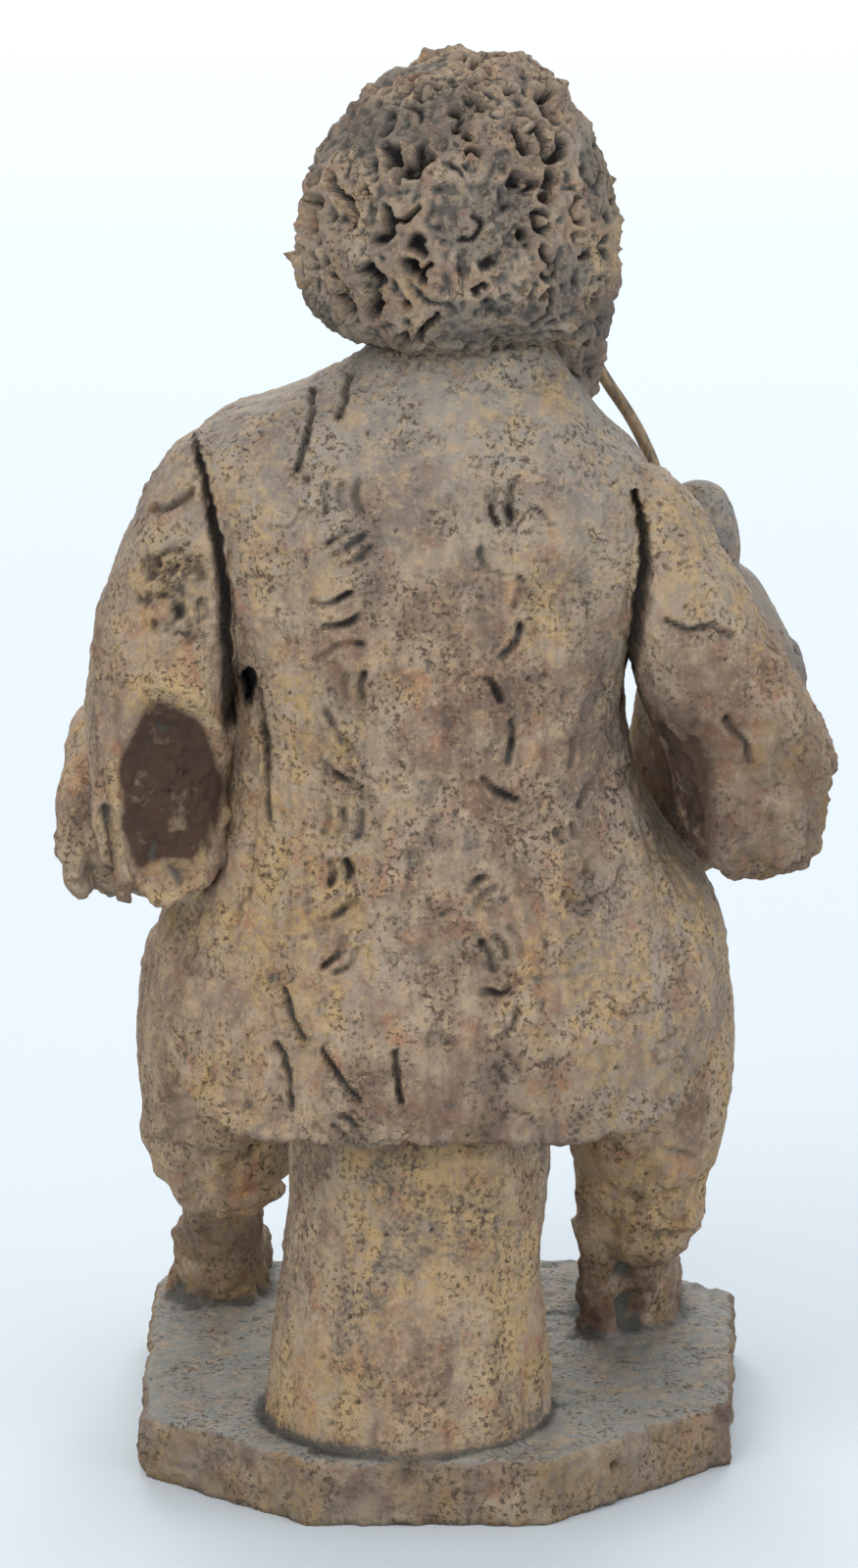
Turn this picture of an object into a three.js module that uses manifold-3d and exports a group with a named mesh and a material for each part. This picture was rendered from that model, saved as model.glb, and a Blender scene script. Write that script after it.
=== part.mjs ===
// A fired-clay figurine: a bearded piper in a coat, sitting on a stump that stands on a cut slab.
// Millimetres, +Z up. The piper faces -Y, so the coat's back faces +Y and the piper's right hand is on -X.
// The origin is the middle of the slab's underside.
//
// All the clay was joined wet and fired as one, so it is one mesh. The thin blowpipe is a piece of its own,
// let into a hole in the lips and a hole in the bag.

import * as THREE from "three";
import { mergeVertices } from "three/addons/utils/BufferGeometryUtils.js";
import Module from "manifold-3d";

const wasm = await Module();
wasm.setup();

// ---- Driving dimensions -------------------------------------------------------------------------------

const SLAB = { left: 42.4, rightFront: 43, rightBack: 40.8, halfDepth: 43, thick: 9.5, bevel: 0.8 };
// How far each corner of the slab is cut back, along X and along Y.
const SLAB_CUTS = { frontRight: [16, 15], backRight: [26, 24], backLeft: [24, 19], frontLeft: [8, 7] };

const STUMP_TOP = 72;
const HEM = { thick: 4.8, rise: 13, roof: 67 };
const HEAD = { at: [-2.4, 13.5, 179.5], turn: 34, wide: 17.6, deep: 19.2, tall: 20 };
const HAIR = { wide: 22.4, deep: 22.4, above: 25.6, below: 14.6, drop: -4, square: 3.2, lump: 1.1 };
const PIPE = { radius: 0.9, fit: 0.3, steps: 20, sides: 8 };
const SEAM = { wide: 1, deep: 4.6 };

const X = new THREE.Vector3(1, 0, 0);
const Y = new THREE.Vector3(0, 1, 0);
const Z = new THREE.Vector3(0, 0, 1);

// ---- Tools --------------------------------------------------------------------------------------------

// A three.js geometry as a manifold-3d solid.
function solid(geometry) {
  const bare = geometry.clone();
  bare.deleteAttribute("normal");
  bare.deleteAttribute("uv");
  const merged = mergeVertices(bare, 1e-4);
  const vertProperties = merged.attributes.position.array;
  const triVerts = new Uint32Array(merged.index.array);
  return new wasm.Manifold(new wasm.Mesh({ numProp: 3, vertProperties, triVerts }));
}

// Moves every vertex of a geometry by a function of its position.
function shaped(geometry, move) {
  const place = geometry.attributes.position;
  const point = new THREE.Vector3();
  for (let i = 0; i < place.count; i++) {
    move(point.fromBufferAttribute(place, i));
    place.setXYZ(i, point.x, point.y, point.z);
  }
  return geometry;
}

// Hand-worked unevenness: three crossing waves about `size` mm long, from -1 to 1.
function uneven(p, size) {
  const k = (2 * Math.PI) / size;
  const a = Math.sin(k * (p.x + 0.6 * p.z) + 1.3);
  const b = Math.sin(k * (p.y - 0.5 * p.x) + 0.4);
  const c = Math.sin(k * (0.9 * p.z + 0.4 * p.y) + 2.1);
  return (a + b + c) / 3;
}

// A soft step from 0 at `from` to 1 at `to`, which may be the smaller of the two.
function smooth(from, to, x) {
  const t = THREE.MathUtils.clamp((x - from) / (to - from), 0, 1);
  return t * t * (3 - 2 * t);
}

const power = (v, square) => Math.sign(v) * Math.abs(v) ** (2 / square);

// A closed body carried along a spine. A station is [x, y, z, half width, half depth]: width lies along
// `across`, made square to the spine, and depth is square to both. `square` above 2 makes the section
// boxier, and `round` is the share of the length in which each end closes.
function limb(stations, { across = X, around = 14, along = 9, square = 2, round = 0.25, rough = 0 } = {}) {
  const spine = new THREE.CatmullRomCurve3(stations.map((s) => new THREE.Vector3(...s)), false, "catmullrom");
  const sizes = new THREE.CatmullRomCurve3(
    stations.map((s) => new THREE.Vector3(s[3], s[4], 0)), false, "catmullrom",
  );
  const width = new THREE.Vector3();
  const depth = new THREE.Vector3();
  const grid = new THREE.CylinderGeometry(1, 1, 1, around, along);
  return solid(shaped(grid, (p) => {
    const even = p.y + 0.5;
    const t = round ? (1 - Math.cos(Math.PI * even)) / 2 : even;
    const end = round ? Math.min(1, Math.min(t, 1 - t) / round) : 1;
    const close = Math.max(0.22, Math.sqrt(1 - (1 - end) ** 2));
    const size = sizes.getPoint(t);
    const tangent = spine.getTangent(THREE.MathUtils.clamp(t, 0.001, 0.999));
    width.copy(across).addScaledVector(tangent, -across.dot(tangent)).normalize();
    depth.crossVectors(width, tangent);
    const w = power(p.x, square) * size.x * close;
    const d = power(p.z, square) * size.y * close;
    p.copy(spine.getPoint(t)).addScaledVector(width, w).addScaledVector(depth, d);
    if (rough) p.addScaledVector(Y, rough * uneven(p, 17));
  }));
}

// A closed ball of clay with three half sizes, shaped further by `press`, which gives a share of the
// radius for a direction.
function ball(at, sizes, { around = 14, rings = 10, press = () => 1 } = {}) {
  const grid = new THREE.SphereGeometry(1, around, rings);
  grid.rotateX(Math.PI / 2);
  return solid(shaped(grid, (p) => {
    p.normalize();
    const share = press(p);
    p.set(at[0] + p.x * sizes[0] * share, at[1] + p.y * sizes[1] * share, at[2] + p.z * sizes[2] * share);
  }));
}

const joined = (solids) => solids.reduce((all, one) => all.add(one));

// ---- Slab and stump -----------------------------------------------------------------------------------

// The slab's eight corners come from its sides, its half depth and the four cuts. It narrows to the back.
function slab() {
  const { left, rightFront, rightBack, halfDepth: d, thick, bevel } = SLAB;
  const { frontRight: fr, backRight: br, backLeft: bl, frontLeft: fl } = SLAB_CUTS;
  const corners = [
    [-rightFront + fr[0], -d], [left - fl[0], -d], [left, -d + fl[1]], [left, d - bl[1]],
    [left - bl[0], d], [-rightBack + br[0], d], [-rightBack, d - br[1]], [-rightFront, -d + fr[1]],
  ];
  const outline = new THREE.Shape(corners.map(([x, y]) => new THREE.Vector2(x, y)));
  const grid = new THREE.ExtrudeGeometry(outline, {
    depth: thick - 2 * bevel,
    bevelThickness: bevel,
    bevelSize: bevel,
    bevelOffset: -bevel,
    bevelSegments: 1,
  });
  return solid(grid.translate(0, 0, bevel));
}

// The round stump leans a little and is drawn in above its foot.
function stump() {
  return limb(
    [
      [5.0, 21.5, SLAB.thick - 3, 20.4, 19.8],
      [4.6, 21.5, 20, 19.4, 18.9],
      [4.0, 21.0, 33, 18.1, 17.8],
      [2.9, 20.5, 46, 18.2, 18.2],
      [2.4, 20.0, 60, 18.8, 18.6], [2.2, 19.5, STUMP_TOP, 19.4, 19],
    ],
    { around: 22, along: 6, round: 0 },
  );
}

// ---- Coat ---------------------------------------------------------------------------------------------

// Level sections of the coat from the hem up: [z, centre x, half width, centre y, half depth]. The left
// shoulder is the higher one, and the waist is drawn in.
const COAT = [
  [57, 0.6, 39.2, 20, 26], [67, 0.2, 39.2, 19.6, 25.4], [79, 0, 36.4, 19.2, 23.6],
  [93, 1.2, 31, 19.2, 21.2], [105, 1.8, 28, 19.8, 19.6], [117, 1.8, 27.2, 20.2, 18.8],
  [128, 2, 30.6, 20.2, 18.2], [138, 2.2, 32.2, 20.2, 17.8], [146, 3.4, 31, 20, 17],
  [151, 4.6, 27, 19.4, 15.6], [155, 1.4, 20.8, 18.6, 13.8], [158.6, -1.4, 15.4, 18, 12.2],
  [162.5, -2.9, 10.8, 17, 10.6],
];
const coatSpine = new THREE.CatmullRomCurve3(
  COAT.map(([z, x, , y]) => new THREE.Vector3(x, y, z)), false, "catmullrom",
);
const coatSizes = new THREE.CatmullRomCurve3(
  COAT.map(([, , wide, , deep]) => new THREE.Vector3(wide, deep, 0)), false, "catmullrom",
);

// The hem is lowest at the back and climbs round the hips to the lap. The angle is 0 at the back.
function hemLift(angle) {
  const turn = Math.abs(angle);
  return HEM.rise * smooth(0.6, 1.7, turn) + 5 * smooth(2, 2.9, turn);
}

// The coat's outside, closed over the trunk. The shoulders have the boxiest sections.
function coatBody() {
  const grid = new THREE.CylinderGeometry(1, 1, 1, 28, 15);
  return solid(shaped(grid, (p) => {
    const t = p.y + 0.5;
    const at = coatSpine.getPoint(t);
    const size = coatSizes.getPoint(t);
    const lift = hemLift(Math.atan2(p.x, -p.z)) * (1 - smooth(0, 0.34, t));
    const square = 2.5 + 1.3 * smooth(0.35, 0.6, t) * (1 - smooth(0.75, 0.95, t));
    p.set(at.x + power(p.x, square) * size.x, at.y - power(p.z, square) * size.y, at.z + lift);
  }));
}

// Under the hem the slab of clay stands off the seat, which leaves a shallow hollow.
function hemHollow() {
  const [, x, wide, y, deep] = COAT[0];
  const stations = [50, HEM.roof].map((z) => [x, y, z, wide - HEM.thick, deep - HEM.thick]);
  return limb(stations, { around: 20, along: 1, square: 2.5, round: 0 });
}

const coat = () => coatBody().subtract(hemHollow());

// A turned-back lapel on each side of the chest, and the coat's front edge below it.
function lapel(side) {
  const stations = [
    [8, 10.5, 158, 3.2, 2.2], [10, 4.6, 147, 5, 2.4], [8, 2.2, 132, 5.2, 2.4],
    [4.6, 1.6, 116, 3.6, 2.2], [3.8, 0.2, 98, 3, 2.4], [4.6, -2.8, 84, 3, 2.6],
  ];
  return limb(stations.map(([x, ...rest]) => [side * x, ...rest]), { around: 6, along: 7, round: 0.12 });
}

// The open line where a sleeve was set against the back, as a bent blade to cut away.
function armholeSeam(path) {
  return limb(path.map((p) => [...p, SEAM.wide, SEAM.deep]), { around: 6, along: 6, round: 0.1 });
}
const leftSeam = () => armholeSeam([
  [33.2, 33, 153.4], [31, 36.6, 144], [29.2, 38, 133], [28.8, 38.4, 120], [28.6, 37, 108],
]);
const rightSeam = () => armholeSeam([
  [-26.6, 36, 143.6], [-27.8, 37.6, 137], [-26.8, 38, 127], [-25.6, 38, 118], [-26, 37, 112],
]);

// ---- Sleeves and hands --------------------------------------------------------------------------------

function leftArm() {
  return joined([
    limb(
      [
        [30.4, 20, 151, 3.2, 8], [32.4, 21.4, 143.6, 6.6, 12.4],
        [35.2, 23, 131, 9.2, 14.2], [37.4, 24.4, 121, 10.2, 14.2],
        [38.8, 25.4, 108, 9.6, 12.4], [38.4, 26.4, 95, 8.4, 10.4], [38.2, 26.8, 86.6, 6.4, 7.6],
      ],
      { around: 12, along: 8, square: 2.6, round: 0.1, rough: 0.4 },
    ),
    // The forearm's wide sleeve, hanging lowest on its outer side.
    limb(
      [
        [40, 26, 100, 8, 9], [45.2, 17, 97.2, 6.8, 13.2], [45.6, 6, 96.6, 6.8, 13.6],
        [41.6, -7, 96.8, 7, 11.4], [34.6, -16.6, 96, 6.4, 9],
      ],
      { around: 12, along: 7, round: 0.14, rough: 0.4 },
    ),
    limb(
      [[49, 22, 106, 2.4, 4], [50, 21, 96, 2.8, 6.4], [49.4, 20, 84, 2.4, 5.2]],
      { around: 8, along: 5, round: 0.3 },
    ),
  ]);
}

function rightArm() {
  return joined([
    limb(
      [
        [-26, 20, 146, 3, 7.8], [-28.6, 21.4, 138.6, 6.6, 12],
        [-31.6, 23, 130, 8.4, 13.6], [-36, 25, 119, 9.8, 12.8],
        [-40.8, 27, 108.6, 10.8, 12], [-42.4, 28, 98, 10, 10.6], [-42.2, 28, 90.4, 8, 7.8],
      ],
      { around: 12, along: 8, square: 2.6, round: 0.1, rough: 0.4 },
    ),
    // The forearm, with the sleeve's lower fold under it.
    limb(
      [[-43, 26, 103, 8, 8], [-48, 16, 103, 6.2, 6.6], [-49, 5, 102.4, 5.6, 6.2], [-48, -5, 101, 5, 5.6]],
      { around: 12, along: 6, round: 0.16, rough: 0.4 },
    ),
    limb(
      [[-43, 25, 95, 7.4, 6.4], [-48.4, 15, 94, 4.8, 5.4], [-49, 5, 94, 4.4, 5], [-47, -5, 96, 4.6, 5]],
      { around: 12, along: 6, round: 0.16 },
    ),
  ]);
}

// Four fingers side by side, each a bent roll of clay from the knuckle, and a thumb.
function hand({ palm, knuckle, curl, spread, thumb, across }) {
  const fingers = [0, 1, 2, 3].map((n) => {
    const start = knuckle.map((v, i) => v + n * spread[i]);
    const at = (share, drop) => start.map((v, i) => v + share * curl[0][i] + drop * curl[1][i]);
    const stations = [[-0.35, 0], [0.5, 0.1], [1, 1]];
    return limb(
      stations.map(([share, drop], i) => [...at(share, drop), 2.5 - 0.2 * i, 2.4 - 0.2 * i]),
      { around: 6, along: 4, across, round: 0.2 },
    );
  });
  return joined([
    limb(palm, { around: 7, along: 4, across, round: 0.2 }),
    limb(thumb, { around: 6, along: 4, across, round: 0.2 }),
    ...fingers,
  ]);
}

// The left hand fingers the chanter.
const leftHand = () => hand({
  across: Z,
  palm: [[35, -14, 96, 5.6, 4.4], [28, -21, 94.4, 6.2, 4.2], [21, -27, 92, 6.4, 3.8]],
  knuckle: [18.6, -30, 96.4],
  spread: [-0.2, 0, -3.4],
  curl: [[-7, -8.4, -2.4], [-6, 6.4, -1.6]],
  thumb: [[25, -20, 97.6, 2.8, 2.6], [18, -24, 97, 2.5, 2.4], [12, -25, 95, 2.2, 2.2]],
});

// The right hand presses the bag from its outer side.
const rightHand = () => hand({
  across: Z,
  palm: [[-48, 0, 99, 6.4, 4.4], [-48.6, -6, 99, 7, 4.2], [-48.2, -12, 99.4, 7, 3.6]],
  knuckle: [-48, -14, 104.6],
  spread: [0.5, -0.2, -3.6],
  curl: [[5, -7.4, 1.4], [8.4, -1.6, 0.4]],
  thumb: [[-48.8, -4, 104, 2.8, 2.6], [-49.4, -6, 109.4, 2.6, 2.4], [-47.6, -8, 114.4, 2.2, 2.2]],
});

// ---- Trousers and shoes -------------------------------------------------------------------------------

function leftLeg() {
  return joined([
    limb(
      [[12, 18, 66, 12, 12], [20, 4, 66.4, 12.4, 12], [28, -11, 66.6, 12.6, 12], [31.6, -22.5, 65, 10.8, 11.4]],
      { around: 12, along: 5, round: 0.2, rough: 0.4 },
    ),
    limb(
      [
        [31.4, -18, 72, 9.6, 9], [32.2, -18, 60, 11.2, 12], [32.6, -18.4, 46, 11.2, 12],
        [32.2, -19, 36, 11.4, 11.6], [31.8, -20, 28, 9.8, 10],
      ],
      { around: 12, along: 7, round: 0.14, rough: 0.6 },
    ),
    limb(
      [[31.6, -24, 30, 6.4, 6.4], [32.4, -27, 18, 6.8, 6.4], [33.2, -29.6, 8, 7.6, 6.6]],
      { along: 3, round: 0 },
    ),
  ]);
}

function rightLeg() {
  return joined([
    limb(
      [[-9, 18, 66, 12, 12], [-17, 5, 66.4, 12.4, 12], [-25, -8, 66.6, 12.6, 12], [-29.6, -18.5, 65, 10.8, 11.4]],
      { around: 12, along: 5, round: 0.2, rough: 0.4 },
    ),
    limb(
      [
        [-29.6, -13, 72, 9.6, 9], [-30.2, -12, 60, 11.6, 12], [-29.4, -12, 46, 12.2, 12],
        [-29, -12.4, 36, 10.4, 10.6], [-29.4, -12.6, 26, 8.4, 8.6], [-29.6, -13, 20, 6.6, 7],
      ],
      { around: 12, along: 7, round: 0.12, rough: 0.6 },
    ),
    limb([[-28, -15, 30, 6.6, 7], [-28, -18, 18, 7, 7.4], [-28, -20, 8, 7.4, 7.6]], { along: 3, round: 0 }),
    // The tab of clay that props the heel from behind.
    limb(
      [[-22.4, -8.4, 34, 3, 3], [-22.6, -9.8, 22, 3.2, 3], [-22.8, -11.4, 8.8, 3.4, 2.8]],
      { around: 8, along: 4, round: 0 },
    ),
  ]);
}

function shoe(x, heel) {
  const sole = SLAB.thick;
  return limb(
    [
      [x, heel + 3, sole + 4.4, 6.4, 5.4], [x, heel - 6, sole + 4.8, 6.8, 6.2],
      [x, heel - 15, sole + 3.2, 7.2, 4.8], [x, heel - 23, sole + 2.2, 6, 3.6],
    ],
    { around: 10, along: 6, square: 2.4, round: 0.2 },
  );
}

// ---- Bagpipe ------------------------------------------------------------------------------------------

function bag() {
  return joined([
    limb(
      [
        [-37.6, -1.6, 127, 4, 4.4], [-38.6, -3.6, 120, 7.4, 9],
        [-39.2, -5, 113, 10.4, 12], [-39.4, -6.4, 106, 11.6, 13.4],
        [-38, -8.4, 97, 11.6, 13], [-33.4, -12, 89, 10, 10.6], [-26, -17, 85.6, 6.6, 7],
      ],
      { around: 14, along: 9, round: 0.12 },
    ),
    // The plugged stock on top.
    limb(
      [
        [-33.4, 0, 138.2, 3.6, 4], [-35.4, 0, 134.6, 4.8, 4.8],
        [-37.4, -0.6, 131, 4.2, 4.4], [-38.6, -3, 122, 4, 4],
      ],
      { around: 10, along: 6, round: 0.25 },
    ),
    // The chanter, down across the lap, with a small flared end.
    limb(
      [
        [-30, -14, 90, 3, 3], [-14, -25, 90, 2.8, 2.8], [6, -34, 87, 2.8, 2.8],
        [19, -38.6, 84, 3.2, 3.2], [23, -40, 83, 4.6, 4.6],
      ],
      { across: Z, around: 8, along: 7, round: 0 },
    ),
  ]);
}

// ---- Head ---------------------------------------------------------------------------------------------

// In the head's own frame: origin at the middle of the skull, face towards -Y.

// 1 where hair covers the skull and 0 on the face. The opening is an upright oval low on the front.
function hairCover(d) {
  const across = d.x / 0.72;
  const up = (d.z + 0.28) / 0.82;
  const inFront = smooth(-0.25, -0.5, d.y);
  return 1 - inFront * (1 - smooth(0.72, 1.05, Math.hypot(across, up)));
}

// The skull with its hair: a domed mop, fullest round the ears and cut off nearly level at the nape.
function hairyHead() {
  const grid = new THREE.SphereGeometry(1, 26, 16);
  grid.rotateX(Math.PI / 2);
  return solid(shaped(grid, (p) => {
    const d = p.clone().normalize();
    const cover = hairCover(d);
    const lockA = Math.sin(9 * d.x + 5 * d.z + 2.2 * Math.sin(6 * d.y));
    const lockB = Math.sin(8 * d.z - 6 * d.y + 1.8 * Math.sin(7 * d.x));
    const lump = cover * HAIR.lump * lockA * lockB;
    const level = Math.hypot(d.x, d.y);
    const full = d.z < 0 ? level ** (2 / HAIR.square - 1) : 1;
    const high = d.z < 0 ? -HAIR.below * Math.abs(d.z) ** (2 / HAIR.square) : HAIR.above * d.z;
    const bare = [d.x * HEAD.wide, d.y * HEAD.deep, d.z * HEAD.tall];
    const mop = [
      d.x * (full * HAIR.wide + lump),
      d.y * (full * HAIR.deep + lump),
      HAIR.drop + high + d.z * lump,
    ];
    p.set(...bare.map((v, i) => THREE.MathUtils.lerp(v, mop[i], cover)));
  }));
}

// The beard hangs from ear to ear and ends in uneven locks.
function beard() {
  const press = (d) => {
    const boxy = (Math.abs(d.x) ** 3 + Math.abs(d.y) ** 3 + Math.abs(d.z) ** 3) ** (-1 / 3);
    const locks = Math.sin(11 * d.x + 4 * d.z) * Math.sin(9 * d.z + 3 * d.x);
    return boxy + 0.07 * locks - 0.12 * smooth(0.2, 0.9, d.z);
  };
  return ball([0, -11.5, -17.2], [14, 9.4, 16.2], { around: 16, rings: 10, press });
}

function face() {
  const nose = [[0, -18.4, 3.4, 1.8, 2], [0, -20.2, -0.8, 2.2, 2.4], [0, -22, -4.6, 3, 2.8]];
  const lip = [[-4, -18.2, -11.4, 1.2, 1.3], [0, -19.8, -11.8, 1.4, 1.6], [4, -18.2, -11.4, 1.2, 1.3]];
  const features = [
    limb(nose, { around: 8, along: 5, round: 0.2 }),
    // The wings of the nose.
    ball([0, -21.2, -5.6], [3.9, 2.4, 2.0], { around: 10, rings: 6 }),
    // The lower lip shows under the moustache.
    limb(lip, { across: Z, around: 6, along: 5, round: 0.3 }),
  ];
  for (const side of [-1, 1]) {
    const sided = (stations) => stations.map(([x, ...rest]) => [side * x, ...rest]);
    const brow = [[2.4, -18.4, 4.6, 1.3, 1.5], [7.4, -17.4, 5.8, 1.4, 1.6], [12, -13.8, 4.2, 1.2, 1.4]];
    const moustache = [[0.4, -20.8, -8.4, 1.7, 1.9], [5.4, -19.2, -9.8, 2.2, 2.2], [10.6, -15, -13.8, 1.6, 1.8]];
    features.push(
      limb(sided(brow), { across: Z, around: 6, along: 5, round: 0.3 }),
      // Eye and cheek.
      ball([side * 7, -16.4, 0.6], [3.3, 2.2, 2.1], { around: 10, rings: 6 }),
      ball([side * 9.4, -14.4, -5.2], [5.2, 4, 4.6], { around: 10, rings: 6 }),
      limb(sided(moustache), { across: Z, around: 7, along: 5, round: 0.25 }),
    );
  }
  return joined(features);
}

function head() {
  const [x, y, z] = HEAD.at;
  return joined([hairyHead(), face(), beard()]).rotate([0, 0, -HEAD.turn]).translate([x, y, z]);
}

const neck = () => limb(
  [[-2.8, 18.4, 150, 11.4, 11], [-3, 16.4, 160, 10.4, 10.2], [-2.8, 14.4, 170, 10.4, 10.4]],
  { round: 0, along: 4 },
);

// ---- Blowpipe -----------------------------------------------------------------------------------------

// From between the lips, out over the chest and down into the top of the bag.
const blowpipePath = new THREE.CatmullRomCurve3([
  [-11.4, -0.6, 168.4], [-14.6, -7.6, 165.6], [-18.4, -11.4, 159.4], [-22.6, -11.6, 151.4],
  [-26.6, -9.8, 145.6], [-29.6, -8.2, 139.6], [-31.8, -7, 132.6], [-33.4, -6, 125.6], [-35, -5.2, 119.6],
].map((p) => new THREE.Vector3(...p)));

// A rod of round section along that path.
function rod(radius, sides) {
  const section = new THREE.Shape();
  for (let n = 0; n < sides; n++) {
    const a = (2 * Math.PI * n) / sides;
    section[n ? "lineTo" : "moveTo"](radius * Math.cos(a), radius * Math.sin(a));
  }
  return new THREE.ExtrudeGeometry(section, { steps: PIPE.steps, extrudePath: blowpipePath, bevelEnabled: false });
}

// The pipe's hole: the rod grown by its fit, run on at the ends by a bead of clearance.
function blowpipeHole() {
  const grown = PIPE.radius + PIPE.fit;
  const beads = [blowpipePath.getPoint(0), blowpipePath.getPoint(1)].map((p) =>
    ball(p.toArray(), [grown + 0.1, grown + 0.1, grown + 0.1], { around: 8, rings: 6 }));
  return joined([solid(rod(grown, PIPE.sides)), ...beads]);
}

// ---- The two pieces -----------------------------------------------------------------------------------

function figure() {
  const clay = joined([
    slab(), stump(), coat(), neck(), head(),
    lapel(-1), lapel(1), leftArm(), rightArm(), leftHand(), rightHand(),
    leftLeg(), rightLeg(), shoe(32.6, -24), shoe(-28, -15), bag(),
  ]);
  // A tear in the clay by the left armhole goes with the seams.
  const tear = ball([26.6, 39, 118.4], [1.5, 4, 3.2], { around: 8, rings: 6 });
  return clay.subtract(joined([leftSeam(), rightSeam(), tear, blowpipeHole()]));
}

// A manifold-3d solid as a three.js mesh.
function meshOf(name, shape, material) {
  const { numProp, vertProperties, triVerts } = shape.getMesh();
  if (numProp !== 3) throw new Error("positions only");
  const geometry = new THREE.BufferGeometry();
  geometry.setAttribute("position", new THREE.BufferAttribute(new Float32Array(vertProperties), 3));
  geometry.setIndex(new THREE.BufferAttribute(new Uint32Array(triVerts), 1));
  geometry.computeVertexNormals();
  const mesh = new THREE.Mesh(geometry, material);
  mesh.name = name;
  return mesh;
}

const firedClay = new THREE.MeshStandardMaterial({
  color: 0x97856f,
  roughness: 0.9,
  metalness: 0,
  flatShading: true,
});
const cane = new THREE.MeshStandardMaterial({ color: 0x7c6a55, roughness: 0.6, metalness: 0 });

const piper = new THREE.Group();
piper.add(meshOf("seated_piper", figure(), firedClay));
piper.add(meshOf("blowpipe", solid(rod(PIPE.radius, PIPE.sides)), cane));

export default piper;
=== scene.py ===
# %% [markdown]
# # A seated piper in fired clay
#
# This file is a lesson in cells. It builds a small hand-modelled clay figurine: a bearded piper in a long
# coat, who sits on a stump that stands on a cut slab. Every solid is a surface worked out with numpy, then
# the surfaces that belong together are fused into one skin, and the skin is marked as a modeller marks
# clay: with grooves, gouges, scratches and crumbs. All lengths are in millimetres until a mesh is made.

# %% Frame
import math

import bpy
import numpy as np
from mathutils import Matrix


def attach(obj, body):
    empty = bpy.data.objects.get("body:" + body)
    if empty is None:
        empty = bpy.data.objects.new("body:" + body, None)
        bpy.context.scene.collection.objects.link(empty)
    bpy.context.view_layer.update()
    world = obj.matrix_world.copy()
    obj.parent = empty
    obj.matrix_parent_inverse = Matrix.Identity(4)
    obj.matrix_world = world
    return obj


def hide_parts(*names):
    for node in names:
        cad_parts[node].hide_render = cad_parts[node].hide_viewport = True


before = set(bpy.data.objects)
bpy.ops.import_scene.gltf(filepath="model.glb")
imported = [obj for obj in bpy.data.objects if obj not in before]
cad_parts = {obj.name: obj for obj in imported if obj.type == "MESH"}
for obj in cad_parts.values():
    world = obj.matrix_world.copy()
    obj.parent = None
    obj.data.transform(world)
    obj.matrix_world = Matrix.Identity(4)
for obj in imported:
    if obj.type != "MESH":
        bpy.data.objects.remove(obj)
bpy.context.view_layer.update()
MM = 0.001

# %% [markdown]
# ## Camera
#
# The figurine is looked at from behind and a little above, from about a metre away. A long lens at that
# distance keeps the slab's sides almost parallel. The aim is the middle of the coat, a little to one side
# of the figure's axis, and a small shift of the lens frames the whole slab.

# %% Camera
LENS_WIDE = 36.0
CAMERA_AWAY = 1000.0
CAMERA_RISE = math.radians(15.5)
LONG_LENS = 167.3
SHIFT_ACROSS, SHIFT_UP = -0.0078, 0.0094
AIM = np.array([0.0, 26.0, 100.0])


def add_camera():
    """A camera behind the figure (+Y), at CAMERA_RISE above the level, looking at AIM."""
    back = np.array([0.0, math.cos(CAMERA_RISE), math.sin(CAMERA_RISE)])
    data = bpy.data.cameras.new("camera")
    data.sensor_width = LENS_WIDE
    data.lens = LONG_LENS
    data.shift_x, data.shift_y = SHIFT_ACROSS, SHIFT_UP
    camera = bpy.data.objects.new("camera", data)
    camera.location = (AIM + CAMERA_AWAY * back) * MM
    camera.rotation_euler = (math.pi / 2 - CAMERA_RISE, 0, math.pi)
    bpy.context.collection.objects.link(camera)
    bpy.context.scene.camera = camera
    return camera


camera = add_camera()
print("camera, m:", [round(v, 3) for v in camera.location])

# %% [markdown]
# ## Small tools for numbers
#
# A soft step turns a distance into a mask with no hard edge. A spline carries stations smoothly from one to
# the next. Lattice noise gives the unevenness of worked clay: each corner of a grid of cubes gets a number
# from a hash of its place, and the numbers are blended inside the cube, so the result never changes from
# run to run.

# %% Soft step, spline and noise
def smooth(start, stop, x):
    """0 before start and 1 after stop, with a soft S between them: 3t^2 - 2t^3. stop may be the smaller."""
    t = np.clip((np.asarray(x, float) - start) / (stop - start), 0, 1)
    return t * t * (3 - 2 * t)


def spline(points, t):
    """The Catmull-Rom curve through the rows of points, at shares t of its length: between two rows it is
    the cubic whose slope at each row is half the step from the row before to the row after."""
    rows = np.asarray(points, float)
    padded = np.vstack([2 * rows[0] - rows[1], rows, 2 * rows[-1] - rows[-2]])
    place = np.clip(t, 0, 1) * (len(rows) - 1)
    i = np.minimum(place.astype(int), len(rows) - 2)
    w = (place - i)[:, None]
    a, b, c, d = (padded[i + k] for k in range(4))
    start, stop = (c - a) / 2, (d - b) / 2
    return b + start * w + (3 * (c - b) - 2 * start - stop) * w**2 + (2 * (b - c) + start + stop) * w**3


def lattice(x, y, z, seed):
    """One number from 0 to 1 for each whole-number place, from a mixing of its bits."""
    h = (x * 73856093) ^ (y * 19349663) ^ (z * 83492791) ^ (seed * 2654435761)
    h = (h & 0xFFFFFFFF).astype(np.uint32)
    h ^= h >> 16
    h *= np.uint32(0x7FEB352D)
    h ^= h >> 15
    h *= np.uint32(0x846CA68B)
    h ^= h >> 16
    return h / 4294967295.0


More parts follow.
